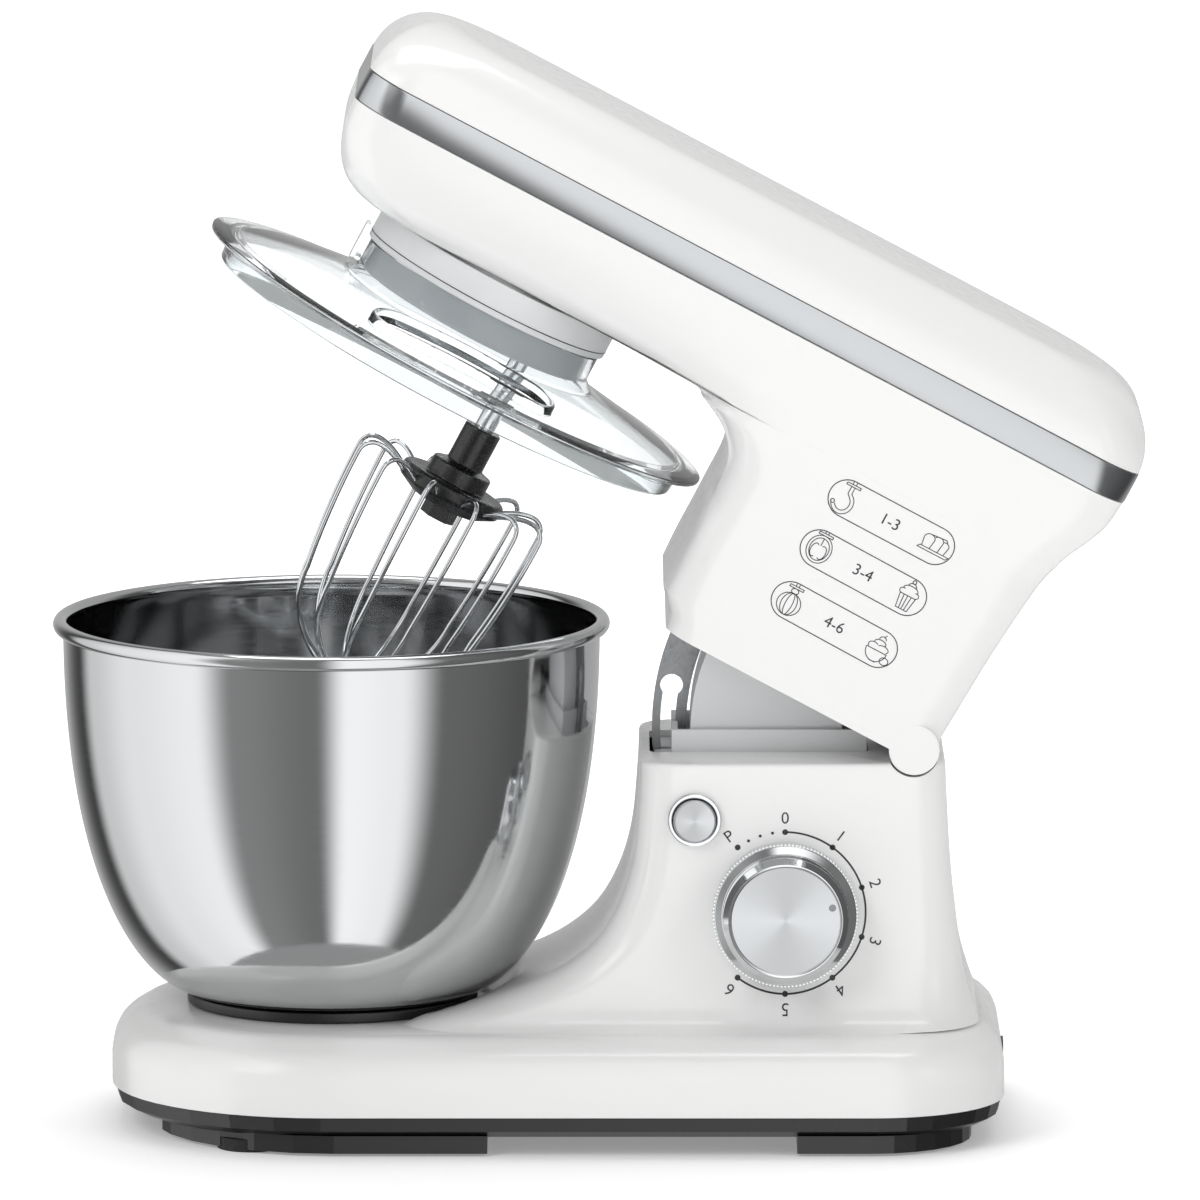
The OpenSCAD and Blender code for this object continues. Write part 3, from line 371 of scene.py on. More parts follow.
def whiteAbs():
    # gloss white ABS, injection moulded: clear soft reflections over a faint orange peel, waves about 4 mm
    mat, tree, shader, place = material("white ABS moulded gloss", {
        "Base Color": "#F1F1F0", "IOR": 1.54, "Coat Weight": 0.25, "Coat Roughness": 0.08})
    noiseRoughness(tree, shader, place, 1 / 0.004, 0.16, 0.22, 0.012, 0.0002)
    return mat


def greyAbs():
    # light grey ABS with a fine spark-eroded texture, grain about 0.6 mm drawn coarse enough to show
    mat, tree, shader, place = material("light grey ABS moulded satin", {"Base Color": "#E2E3E4", "IOR": 1.54})
    noiseRoughness(tree, shader, place, 1 / 0.0006, 0.36, 0.48, 0.06, 0.0001)
    return mat


def blackAbs():
    # black ABS, moulded satin: a soft broad sheen over 0.5 mm grain
    mat, tree, shader, place = material("black ABS moulded satin", {"Base Color": "#19191B", "IOR": 1.54})
    noiseRoughness(tree, shader, place, 1 / 0.0005, 0.3, 0.42, 0.05, 0.0001)
    return mat


def blackNylon():
    # black glass-filled nylon: semi-gloss with fine fibre mottling about 0.8 mm
    mat, tree, shader, place = material("black nylon moulded", {"Base Color": "#0F0F10", "IOR": 1.53})
    noiseRoughness(tree, shader, place, 1 / 0.0008, 0.22, 0.38, 0.05, 0.0001)
    return mat


def footRubber():
    # black rubber, compression moulded: dull with dusty mottling about 2 mm
    mat, tree, shader, place = material("black rubber moulded", {"Base Color": "#1C1C1C", "IOR": 1.5})
    noiseRoughness(tree, shader, place, 1 / 0.002, 0.7, 0.85, 0.1, 0.0002)
    return mat


def polishedSteel():
    # stainless steel, deep drawn and polished on a lathe: mirror with fine lines round the axis
    mat, tree, shader, place = material("stainless steel polished bowl", {"Base Color": "#C9CACB", "Metallic": 1.0})
    noiseRoughness(tree, shader, place, 1 / 0.0009, 0.05, 0.11, 0.015, 0.00005, (0.05, 0.05, 1))
    return mat


def brightWire():
    # stainless wire, drawn and electropolished
    mat, tree, shader, place = material("stainless wire electropolished", {"Base Color": "#D4D6D8", "Metallic": 1.0})
    noiseRoughness(tree, shader, place, 1 / 0.002, 0.08, 0.16)
    return mat


def satinTrim():
    # aluminium strip, satin brushed along its length: lines about 0.3 mm apart
    mat, tree, shader, place = material("aluminium strip brushed", {"Base Color": "#B9BBBD", "Metallic": 1.0})
    turned = addNode(tree, "ShaderNodeMapping", inputs={"Rotation": (0, -tilt, 0), "Scale": (0.02, 0.02, 1)},
                     links={"Vector": (place, "Object")})
    lines = addNode(tree, "ShaderNodeTexNoise", inputs={"Scale": 1 / 0.0003, "Detail": 2},
                    links={"Vector": (turned, "Vector")})
    rough = addNode(tree, "ShaderNodeMapRange", inputs={"To Min": 0.16, "To Max": 0.24},
                    links={"Value": (lines, "Fac")})
    tree.links.new(rough.outputs["Result"], shader.inputs["Roughness"])
    addBump(tree, shader, lines, 0.02, 0.00002)
    return mat


def spunMetal(name, centre, colour="#C4C6C8"):
    # aluminium face turned on a lathe: rings 0.25 mm apart that throw light as two bright fans
    mat, tree, shader, place = material(name, {"Base Color": colour, "Metallic": 1.0, "Anisotropic": 0.85,
                                               "Roughness": 0.3})
    moved = addNode(tree, "ShaderNodeVectorMath", {"operation": "SUBTRACT"}, links={0: (place, "Object")})
    moved.inputs[1].default_value = centre
    rings = addNode(tree, "ShaderNodeTexWave", {"wave_type": "RINGS", "rings_direction": "Y"},
                    {"Scale": 1 / 0.0016, "Distortion": 0.3, "Detail": 1}, {"Vector": (moved, "Vector")})
    tangent = addNode(tree, "ShaderNodeVectorMath", {"operation": "CROSS_PRODUCT"}, links={0: (moved, "Vector")})
    tangent.inputs[1].default_value = (0, 1, 0)
    unit = addNode(tree, "ShaderNodeVectorMath", {"operation": "NORMALIZE"}, links={0: (tangent, "Vector")})
    addBump(tree, shader, rings, 0.05, 0.00005)
    tree.links.new(unit.outputs["Vector"], shader.inputs["Tangent"])
    return mat


def platedMetal(name, colour, low=0.22, high=0.4, grain=0.001):
    # sheet or turned metal with a slightly uneven satin surface
    mat, tree, shader, place = material(name, {"Base Color": colour, "Metallic": 1.0})
    noiseRoughness(tree, shader, place, 1 / grain, low, high, 0.04, 0.0001)
    return mat


def plainPlastic(name, colour, grain=0.001):
    # moulded engineering plastic with a low sheen
    mat, tree, shader, place = material(name, {"Base Color": colour, "IOR": 1.5})
    noiseRoughness(tree, shader, place, 1 / grain, 0.4, 0.55, 0.05, 0.0001)
    return mat


def clearSan():
    # clear SAN, injection moulded: thin, bright at its edges, with faint flow lines about 12 mm wide
    mat, tree, shader, place = material("clear SAN moulded", {
        "Base Color": "#F7FAFB", "IOR": 1.3, "Transmission Weight": 1.0, "Roughness": 0.03})
    flow = addNode(tree, "ShaderNodeTexNoise", inputs={"Scale": 1 / 0.012, "Detail": 1},
                   links={"Vector": (place, "Object")})
    addBump(tree, shader, flow, 0.02, 0.0005)
    return mat


def printInk():
    # dark grey pad-printed ink, slightly uneven where the pad lifts
    mat, tree, shader, place = material("pad printed ink", {"Base Color": "#2B2C2E"})
    noiseRoughness(tree, shader, place, 1 / 0.0007, 0.35, 0.5)
    return mat


white, grey, black, nylon, rubber = whiteAbs(), greyAbs(), blackAbs(), blackNylon(), footRubber()
bowlSteel = polishedSteel()
wire, trim, clear, ink = brightWire(), satinTrim(), clearSan(), printInk()
knobFace = spunMetal("aluminium turned knob face", knobAt)
lowButton, highButton = lowHigh("lock_button")
buttonAt = (lowButton + highButton) / 2
buttonFace = spunMetal("aluminium turned button face", buttonAt)
bright = platedMetal("chrome plated ring", "#DADCDD", 0.05, 0.1)
zinc = platedMetal("steel zinc plated", "#A9ABAD")
darkZinc = platedMetal("steel sheet zinc plated dull", "#8F9193", 0.32, 0.45)
sintered = platedMetal("steel sintered", "#77797B", 0.35, 0.5)
castMetal = platedMetal("aluminium die cast", "#9C9DA0", 0.4, 0.55)
bronze = platedMetal("bronze sintered oiled", "#A87F4E", 0.3, 0.45)
copper = platedMetal("copper wire enamelled", "#B8683A", 0.2, 0.35)
acetal = plainPlastic("acetal moulded cream", "#E6E0CC")
satinGrey = plainPlastic("grey ABS painted satin", "#CDCFD1")
maskGreen = plainPlastic("circuit board solder mask", "#2E6B3D")

nodeMaterials = {
    "white_abs": white, "black_plastic": black, "grey_plastic": grey, "rubber": rubber, "bowl_steel": bowlSteel,
    "wire_steel": wire, "trim_metal": trim, "knob_metal": bright, "plated_steel": zinc, "gear_plastic": acetal,
    "gear_steel": sintered, "bronze": bronze, "copper": copper, "cast_metal": castMetal, "board": maskGreen,
    "clear_plastic": clear}


def paintNodes():
    chosen = {part["node"]: nodeMaterials[part["material_slot"]] for part in frame["record"]["subparts"]}
    chosen.update(whisk_hub=nylon, whisk_nut=nylon, lock_plate=darkZinc)
    for name, mat in chosen.items():
        nodes[name].data.materials.clear()
        nodes[name].data.materials.append(mat)


paintNodes()
print("materials made")

# base housing with the column

baseShell = {
    # height and inset of the base's flank, then height, front, rear, side, corner and dish of the column, in mm
    "flank": [(16.3, 0), (24, 0), (29, 0.1), (34, 1.2), (39, 4.5), (42.4, 9), (45.1, 14), (46, 19)],
    "column": [(46.3, 96, 13.5, 20, 30, 62.5), (49, 88, 12.5, 15, 28, 63.5), (55, 60, 10.5, 9.5, 24, 71),
               (64, 36, 8, 5, 21, 79), (76, 19, 6, 2.8, 18, 91), (91, 9, 4, 1.7, 16, 108), (110, 3, 2, 1, 15, 115),
               (133.5, 0.6, 0.6, 0.3, 14, 117), (147.6, 0, 0, 0, 14, 118)],
    "cornerFront": 85, "cornerRear": 52, "rearShare": 0.55,
    "setback": 23.5, "columnLength": 120, "columnWidth": 112, "topHeight": 149.5, "wall": 2.6,
    "openFront": 4, "openRear": 30, "openHalf": 27, "edge": 1.9, "lowest": 16.3, "boss": 10.8, "buttonHole": 10.05}


def makeBase():
    s = baseShell
    low, high = lowHigh("base_housing")
    x0, x1, half = low.x / mm, high.x / mm, high.y / mm
    columnRear = x1 - s["setback"]
    columnFront = columnRear - s["columnLength"]
    columnHalf = s["columnWidth"] / 2
    axis = bowlX / mm

    def flankRing(z, inset):
        return [(x, y, z) for x, y in outline(x0 + inset, x1 - inset * s["rearShare"], half - inset,
                                              s["cornerFront"] - inset, s["cornerRear"] - inset / 2)]

    def columnRing(z, front, rear, side, corner, dish, grow=0):
        points = outline(columnFront - front + grow, columnRear + rear - grow, columnHalf + side - grow,
                         corner - grow, corner - grow)
        return [(max(x, axis + math.sqrt(dish * dish - y * y)) if dish > abs(y) else x, y, z) for x, y in points]

    flank = spline([list(row) for row in s["flank"]], 4)
    column = spline([list(row) for row in s["column"]], 7)
    rings = [flankRing(z, inset) for z, inset in flank] + [columnRing(*row) for row in column]
    top = s["topHeight"]
    edge = s["edge"]
    for degrees in (30, 60, 90):   # the rounded edge of the column's top
        a = math.radians(degrees)
        rings.append(columnRing(top - edge + edge * math.sin(a), 0, 0, 0, 14, 118, edge - edge * math.cos(a)))
    for z in (top, top - s["wall"]):
        rings.append([(x, y, z) for x, y in outline(columnFront + s["openFront"], columnRear - s["openRear"],
                                                    s["openHalf"], 4, 4)])
    wall = s["wall"]
    for row in reversed(column[::3]):
        z, front, rear, side, corner, dish = row
        rings.append(columnRing(min(z, top) - wall, front, rear, side, corner, dish + wall, wall))
    for z, inset in reversed(flank[::3]):
        rings.append([(x, y, max(s["lowest"], z - wall)) for x, y, _ in flankRing(z, inset + wall)])
    verts, faces = ringStack([[Vector(p) * mm for p in ring] for ring in rings])
    piece = newPiece("base_shell", verts, faces, "base", white)
    cutWith(piece, [
        rodCutter(s["boss"] * mm, Matrix.Translation(hinge), -0.12, 0.12),
        rodCutter(s["buttonHole"] * mm, Matrix.Translation((buttonAt.x, 0, buttonAt.z)), -0.12, -0.04)])
    sharpen(piece, 32)
    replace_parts(piece, "base_housing")
    return piece


baseShellPiece = makeBase()
print("base made")

# head shells and trim, drawn closed about the hinge, then tilted

headShell = {
    # height, front reach, rear reach, half width, share of it kept ahead of the neck, front corner, in mm
    "rows": [(-4.2, 108, 8, 56, 1, 12), (2.5, 110, 8, 56, 1, 12), (9, 116, 8.2, 56, 1, 14),
             (22, 116.5, 8.8, 56.2, 1, 14), (45, 116.5, 10, 56.6, 1, 14), (65, 117.5, 11.8, 57, 1, 15),
             (76, 125.5, 13.2, 57.3, 1, 17), (82.5, 138, 14.5, 57.7, 1, 20), (86.5, 156, 15.6, 57.9, 0.9, 26),
             (87, 281, 15.8, 58, 0.78, 30), (88, 290, 16.2, 58.1, 0.86, 30), (91, 298, 17, 58.3, 0.93, 28),
             (96, 304, 19, 58.8, 0.97, 24), (103, 308.5, 22.5, 59.2, 0.99, 21), (112, 311.8, 25.8, 59.8, 1, 19),
             (123.2, 313, 27, 60, 1, 18)],
    "neck": 116, "trimLow": 123.5, "trimHigh": 136, "trimThick": 1.6, "corner": 18, "wall": 2.6,
    "top": 163, "coverRound": 27, "coverSteps": 18}


def placed(ring):
    return [headPlace @ (Vector(p) * mm) for p in ring]


def smoothStep(a, b, x):
    t = min(1, max(0, (x - a) / (b - a)))
    return t * t * (3 - 2 * t)


def headRing(row, inset=0, lift=0):
    z, front, rear, half, share, corner = row
    s = headShell
    points = outline(inset - front, rear - inset, half - inset, corner - inset, min(corner, 18) - inset)
    return [(x, y * (1 - (1 - share) * smoothStep(s["neck"] + 4, s["neck"] + 50, -x)), z + lift) for x, y in points]


def trimRing(inset, z):
    return headRing((z, 313, 27, 60, 1, headShell["corner"]), inset)


def makeLowerShell():
    s = headShell
    rows = [list(row) for row in s["rows"]]
    # the foot's chamfer keeps its corners, the rest flows
    fine = rows[:2] + spline(rows[2:8], 6)[:-1] + spline(rows[7:10], 6)[:-1] + spline(rows[9:], 6)
    joint = (s["trimLow"] + s["trimHigh"]) / 2
    t = s["trimThick"]
    rings = [headRing(row) for row in fine]
    rings += [trimRing(t + 0.1, s["trimLow"] - 0.3), trimRing(t + 0.1, joint), trimRing(t + s["wall"], joint)]
    for i in range(len(rows) - 1, -1, -1):
        lift = s["wall"] * (1 if i < 11 else 0.6) if 7 < i < 14 else 0
        rings.append(headRing(rows[i], s["wall"] + (t if i == len(rows) - 1 else 0), lift))
    verts, faces = ringStack([placed(r) for r in rings])
    piece = newPiece("head_shell", verts, faces, "head", white)
    cutWith(piece, [rodCutter(11.4 * mm, headPlace, y * mm - 0.0035, y * mm + 0.0035) for y in (-29.5, 29.5)])
    sharpen(piece, 32)
    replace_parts(piece, "head_lower_shell")
    for side in (-1, 1):
        profile = roundedProfile([(5.1, 34), (10, 34), (10, 55.9), (5.1, 55.9), (0, 55.9)], 0.6, 3)
        place = headPlace @ Matrix.Rotation(math.radians(90) * -side, 4, "X") @ Matrix.Scale(mm, 4)
        lathe("hinge_boss_" + ("near" if side < 0 else "far"), profile, place, "head", white, 96)
    return piece


def coverRing(a, inset):
    s = headShell
    inward = s["coverRound"] * (1 - math.cos(a)) + inset
    corner = 18 + 14 * math.sin(a) - inset
    z = s["trimHigh"] + 0.3 + (s["top"] - s["trimHigh"] - 0.3) * math.sin(a) - (inset * math.sin(a) if a > 0 else 0)
    return [(x, y, z) for x, y in outline(inward * 0.9 - 313, 27 - inward * 1.1, 60 - inward, corner, corner)]


def makeTopCover():
    s = headShell
    steps = s["coverSteps"]
    angles = [math.pi / 2 * i / steps for i in range(steps + 1)]
    joint = (s["trimLow"] + s["trimHigh"]) / 2 + 0.3
    t = s["trimThick"]
    rings = [coverRing(a, s["wall"]) for a in reversed(angles[3:])]
    rings += [trimRing(t + s["wall"], joint), trimRing(t + 0.1, joint), trimRing(t + 0.1, s["trimHigh"] + 0.3)]
    rings += [coverRing(a, 0) for a in angles]
    verts, faces = ringStack([placed(r) for r in rings], looped=False)
    piece = sharpen(newPiece("head_cover", verts, faces, "head", white), 32)
    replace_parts(piece, "head_top_cover")


def makeTrim():
    s = headShell
    low, high, r = s["trimLow"], s["trimHigh"], 0.5
    rings = [trimRing(-0.25 + r, low), trimRing(-0.1, low + 0.15), trimRing(-0.25, low + r),
             trimRing(-0.25, (low + high) / 2), trimRing(-0.25, high - r), trimRing(-0.1, high - 0.15),
             trimRing(-0.25 + r, high), trimRing(s["trimThick"], high), trimRing(s["trimThick"], low)]
    verts, faces = ringStack([placed(r) for r in rings])
    piece = sharpen(newPiece("trim_strip", verts, faces, "head", trim), 40)
    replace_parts(piece, "trim_band")


headPiece = makeLowerShell()
makeTopCover()
makeTrim()
print("head made")

# bowl

bowlShape = {"floor": 50.8, "low": 54.5, "wall": 106, "sheet": 1.2, "rimRadius": 107, "rimHeight": 197, "roll": 2.95,
             "power": 0.55, "steps": 40}
bowlPlace = Matrix.Translation((bowlX, 0, 0)) @ Matrix.Scale(mm, 4)


def makeBowl():
    s = bowlShape
    rise = s["rimHeight"] - s["floor"]

    def side(t):
        return (s["low"] + (s["wall"] - s["low"]) * math.sin(math.radians(90 * t ** s["power"])), s["floor"] + rise * t)

    ts = [(i / s["steps"]) ** 1.5 for i in range(s["steps"])]
    outer = [(0.01, s["floor"]), (s["low"] - 1.5, s["floor"]), (s["low"] + 0.6, s["floor"] + 0.3)]
    outer += [side(t) for t in ts[1:] if t < 0.975]
    angles = [math.radians(a) for a in range(-110, 221, 15)]
    roll = [(s["rimRadius"] + s["roll"] * math.cos(a), s["rimHeight"] + s["roll"] * math.sin(a)) for a in angles]
    inner = [(r - s["sheet"], z) for r, z in reversed(outer[3:])]
    inside = s["floor"] + s["sheet"]
    profile = outer + roll + inner + [(s["low"] - 4, inside), (0.01, inside)]
    lathe("bowl_shell", profile, bowlPlace, "bowl", bowlSteel, 192, angle=40)
    ring = roundedProfile([(52, 46.4), (57.5, 46.4), (57.5, 50.5), (52, 50.5), (52, 46.4)], 0.8)
    lathe("bowl_foot_ring", ring, bowlPlace, "bowl", black, 128)
    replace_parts(bpy.data.objects["bowl_shell"], "bowl")
    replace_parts(bpy.data.objects["bowl_foot_ring"], "bowl_foot")


makeBowl()
print("bowl made")

# collar and splash guard, drawn round the drive's axis with z up it

drivePlace = headPlace @ Matrix.Translation((driveX, 0, 0)) @ Matrix.Scale(mm, 4)
beaterPlace = headPlace @ Matrix.Translation((beaterX, 0, 0)) @ Matrix.Scale(mm, 4)
guardShape = {
    "profile": [(48.5, 72.6), (50.5, 72.6), (50.5, 62.6), (54.5, 58.6), (96.5, 51.1), (105.5, 49.7), (108.5, 48.9),
                (108.1, 46.9), (100.5, 47.7), (99.5, 38.5), (97.5, 38.5), (97.5, 48.9), (53.5, 56.4), (48.5, 61.6),
                (48.5, 72.6)],
    "collar": [(43.6, 73.1), (52, 73.1), (52, 86.2), (45.7, 86.2), (45.7, 89.6), (43.6, 89.6), (43.6, 73.1)],
    "sleeve": [(46.4, 60.5), (47.9, 60.5), (47.9, 73.3), (46.4, 73.3), (46.4, 60.5)],
    "seam": [(51.6, 75.6), (52.12, 75.6), (52.12, 76.0), (51.6, 76.0), (51.6, 75.6)],
    # low and high corners of the clip tab's upright plate, foot and two ribs
    "tab": [((-55, -7, 61.5), (-53.2, 7, 77.4)), ((-53.2, -7, 61.5), (-50.7, 7, 64)),
            ((-53.2, -7, 64), (-51.6, -5.6, 72.5)), ((-53.2, 5.6, 64), (-51.6, 7, 72.5))],
    "feedRadius": 74.5, "feedHalf": 40, "feedEnd": 11.5}


def feedPath(grow, parts=24):
    # the long feed opening's outline in the guard's plane
    s = guardShape
    half, end = s["feedHalf"] - s["feedEnd"], s["feedEnd"] + grow
    points = []
    for side, start in ((1, -90), (-1, 90)):
        for i in range(parts + 1):
            a = math.radians(start + 180 * i / parts)
            points.append((side * half + end * math.cos(a), -s["feedRadius"] + end * math.sin(a)))
        points += [(side * (half - 2 * half * k / 8), -s["feedRadius"] + side * end) for k in range(1, 8)]
    return points


def guardTop(x, y):
    # height of the guard's upper face over a point of its plane
    r = max(54.5, min(96.5, math.hypot(x, y)))
    return 58.6 - (r - 54.5) / 42 * 7.5


def makeGuard():
    s = guardShape
    collarPiece = lathe("head_collar", roundedProfile(s["collar"], 0.7), drivePlace, "head", grey, 160)
    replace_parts(collarPiece, "collar")
    # the collar's inner sleeve shows grey through the guard's clear neck
    lathe("collar_sleeve", roundedProfile(s["sleeve"], 0.5), drivePlace, "head", satinGrey, 160)
    lathe("collar_seam", s["seam"], drivePlace, "head", black, 160)
    piece = lathe("guard_disc", roundedProfile(s["profile"], 0.6, 3), drivePlace, "guard", clear, 160, angle=50)
    path = feedPath(0.05)
    cutWith(piece, [cutterThrough([[drivePlace @ Vector((x, y, z)) for x, y in path] for z in (30, 90)])])
    sharpen(piece, 50)
    rings = []
    for inset, up in ((0.1, -1.9), (0.1, 2.6), (-0.5, 3.4), (-1.3, 3.4), (-1.9, 2.6), (-1.9, -1.9)):
        rings.append([drivePlace @ Vector((x, y, guardTop(x, y) + up)) for x, y in feedPath(inset)])
    verts, faces = ringStack(rings)
    sharpen(newPiece("guard_feed_lip", verts, faces, "guard", clear), 60)
    for i, (a, b) in enumerate(s["tab"]):
        bm = bmesh.new()
        bmesh.ops.create_cube(bm, size=1)
        for v in bm.verts:
            v.co = drivePlace @ Vector(tuple(a[k] + (v.co[k] + 0.5) * (b[k] - a[k]) for k in range(3)))
        bmesh.ops.bevel(bm, geom=bm.edges[:], offset=0.0003, segments=2, affect="EDGES")
        bm.verts.index_update()
        verts, faces = [v.co.copy() for v in bm.verts], [[v.index for v in f.verts] for f in bm.faces]
        bm.free()
        sharpen(newPiece("guard_tab_" + str(i + 1), verts, faces, "guard", clear), 30)
    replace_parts(piece, "splash_guard")


makeGuard()
print("guard made")

# whisk

whiskShape = {"hubTop": 26, "disc": -4, "radius": 41.5, "low": -86.6, "wire": 1.0, "loops": 6, "steps": 40,
              "drop": 0.84}


def loopPoint(t):
    s = whiskShape
    r, disc = s["radius"], s["disc"]
    if t < 0.2:
        k = t / 0.2
        return 21 + (r - 27) * k, disc + 1.5 + 5 * math.sin(math.radians(90 * k))
    if t < 0.34:
        a = math.radians(90 * (t - 0.2) / 0.14)
        return r - 6 + 6 * math.sin(a), disc + 0.5 + 6 * math.cos(a)
    if t < 0.6:
        k = (t - 0.34) / 0.26
        return r - 4 * k * k, disc + 0.5 - 50 * k
    a = math.radians(90 * (t - 0.6) / 0.4)
    return (r - 4) * math.cos(a), disc - 49.5 - (disc - 49.5 - s["low"]) * math.sin(a)


def startGroup(name, sockets):
    # a geometry group; returns it, its input node and the identifiers of its own sockets
    tree = bpy.data.node_groups.new(name, "GeometryNodeTree")
    face = tree.interface
    face.new_socket("Geometry", in_out="INPUT", socket_type="NodeSocketGeometry")
    made = [face.new_socket(key, in_out="INPUT", socket_type="NodeSocket" + kind) for key, kind in sockets]
    face.new_socket("Geometry", in_out="OUTPUT", socket_type="NodeSocketGeometry")
    return tree, addNode(tree, "NodeGroupInput"), [socket.identifier for socket in made]


def endGroup(tree, start, source, output):
    # makes instances real, gives them their material and sends them out
    real = addNode(tree, "GeometryNodeRealizeInstances", links={"Geometry": (source, output)})
    coat = addNode(tree, "GeometryNodeSetMaterial",
                   links={"Geometry": (real, "Geometry"), "Material": (start, "Material")})
    addNode(tree, "NodeGroupOutput", links={"Geometry": (coat, "Geometry")})


def tubeTree():
    # a network of edges becomes round wire
    tree, start, keys = startGroup("round wire", [("Radius", "Float"), ("Material", "Material")])
    curve = addNode(tree, "GeometryNodeMeshToCurve", links={"Mesh": (start, "Geometry")})
    circle = addNode(tree, "GeometryNodeCurvePrimitiveCircle", inputs={"Resolution": 14},
                     links={"Radius": (start, "Radius")})
    tube = addNode(tree, "GeometryNodeCurveToMesh", inputs={"Fill Caps": True},
                   links={"Curve": (curve, "Curve"), "Profile Curve": (circle, "Curve")})
    shade = addNode(tree, "GeometryNodeSetShadeSmooth", links={"Geometry": (tube, "Mesh")})
    endGroup(tree, start, shade, "Geometry")
    return [tree] + keys


wireTree, wireRadius, wireMaterial = tubeTree()


def makeWires(name, paths, radius, body, mat):
    # paths are lists of world points; each becomes one wire
    verts, edges = [], []
    for path in paths:
        edges += [(len(verts) + i, len(verts) + i + 1) for i in range(len(path) - 1)]
        verts += path
    piece = meshObject(name, verts, [], edges)
    mod = piece.modifiers.new("wire", "NODES")
    mod.node_group = wireTree
    mod[wireRadius], mod[wireMaterial] = radius, mat
    applyModifiers(piece)
    tidyMesh(piece.data, 1e-7)
    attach(piece, body)
    return piece


def makeWhisk():
    s = whiskShape
    paths = []
    for i in range(s["loops"]):
        a = math.radians(15 + 180 * i / s["loops"])
        drop = s["drop"] * i
        half = []
        for k in range(s["steps"] + 1):
            t = k / s["steps"]
            x, z = loopPoint(t)
            half.append((x, z - (drop * (t - 0.6) / 0.4 if t > 0.6 else 0)))
        full = half + [(-x, z) for x, z in half[-2::-1]]
        paths.append([beaterPlace @ Vector((x * math.cos(a), x * math.sin(a), z)) for x, z in full])
    wires = makeWires("whisk_cage", paths, s["wire"] * mm, "beater", wire)
    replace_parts(wires, "whisk_wires")
    top, disc = s["hubTop"], s["disc"]
    profile = [(4.1, top), (7.6, top), (7.6, top - 16), (12.5, top - 17.5), (12.5, top - 24), (17, disc + 6.2),
               (20.5, disc + 6.2), (22, disc + 5), (22, disc + 1.5), (21.5, disc), (14, disc - 4), (0.01, disc - 4)]
    hub = lathe("whisk_boss", roundedProfile(profile, 0.9), beaterPlace, "beater", nylon, 96, angle=40)
    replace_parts(hub, "whisk_hub")


makeWhisk()
print("whisk made")

# knob, lock button and their rings

knobShape = {"back": -62, "skirt": 27.9, "bevel": 24.5, "face": 21.7, "height": 17, "ribs": 120, "dotAngle": 74,
             "dotOut": 19, "dotRadius": 1.5}


def sideways(x, y, z):
    # places a piece whose axis points out of the controls' side
    return Matrix.Translation((x, y, z)) @ Matrix.Rotation(math.radians(90), 4, "X") @ Matrix.Scale(mm, 4)


def ribTree():
    # repeats one rib round the knob's axis
    tree, start, keys = startGroup("knob ribs", [("Count", "Int"), ("Radius", "Float"), ("Material", "Material")])
    circle = addNode(tree, "GeometryNodeMeshCircle", links={"Vertices": (start, "Count"), "Radius": (start, "Radius")})
    index = addNode(tree, "GeometryNodeInputIndex")
    share = addNode(tree, "ShaderNodeMath", {"operation": "DIVIDE"}, links={0: (index, "Index"), 1: (start, "Count")})
    angle = addNode(tree, "ShaderNodeMath", {"operation": "MULTIPLY"}, {1: 2 * math.pi}, {0: (share, "Value")})
    turn = addNode(tree, "ShaderNodeCombineXYZ", links={"Z": (angle, "Value")})
    spread = addNode(tree, "GeometryNodeInstanceOnPoints", links={
        "Points": (circle, "Mesh"), "Instance": (start, "Geometry"), "Rotation": (turn, "Vector")})
    endGroup(tree, start, spread, "Instances")
    return [tree] + keys


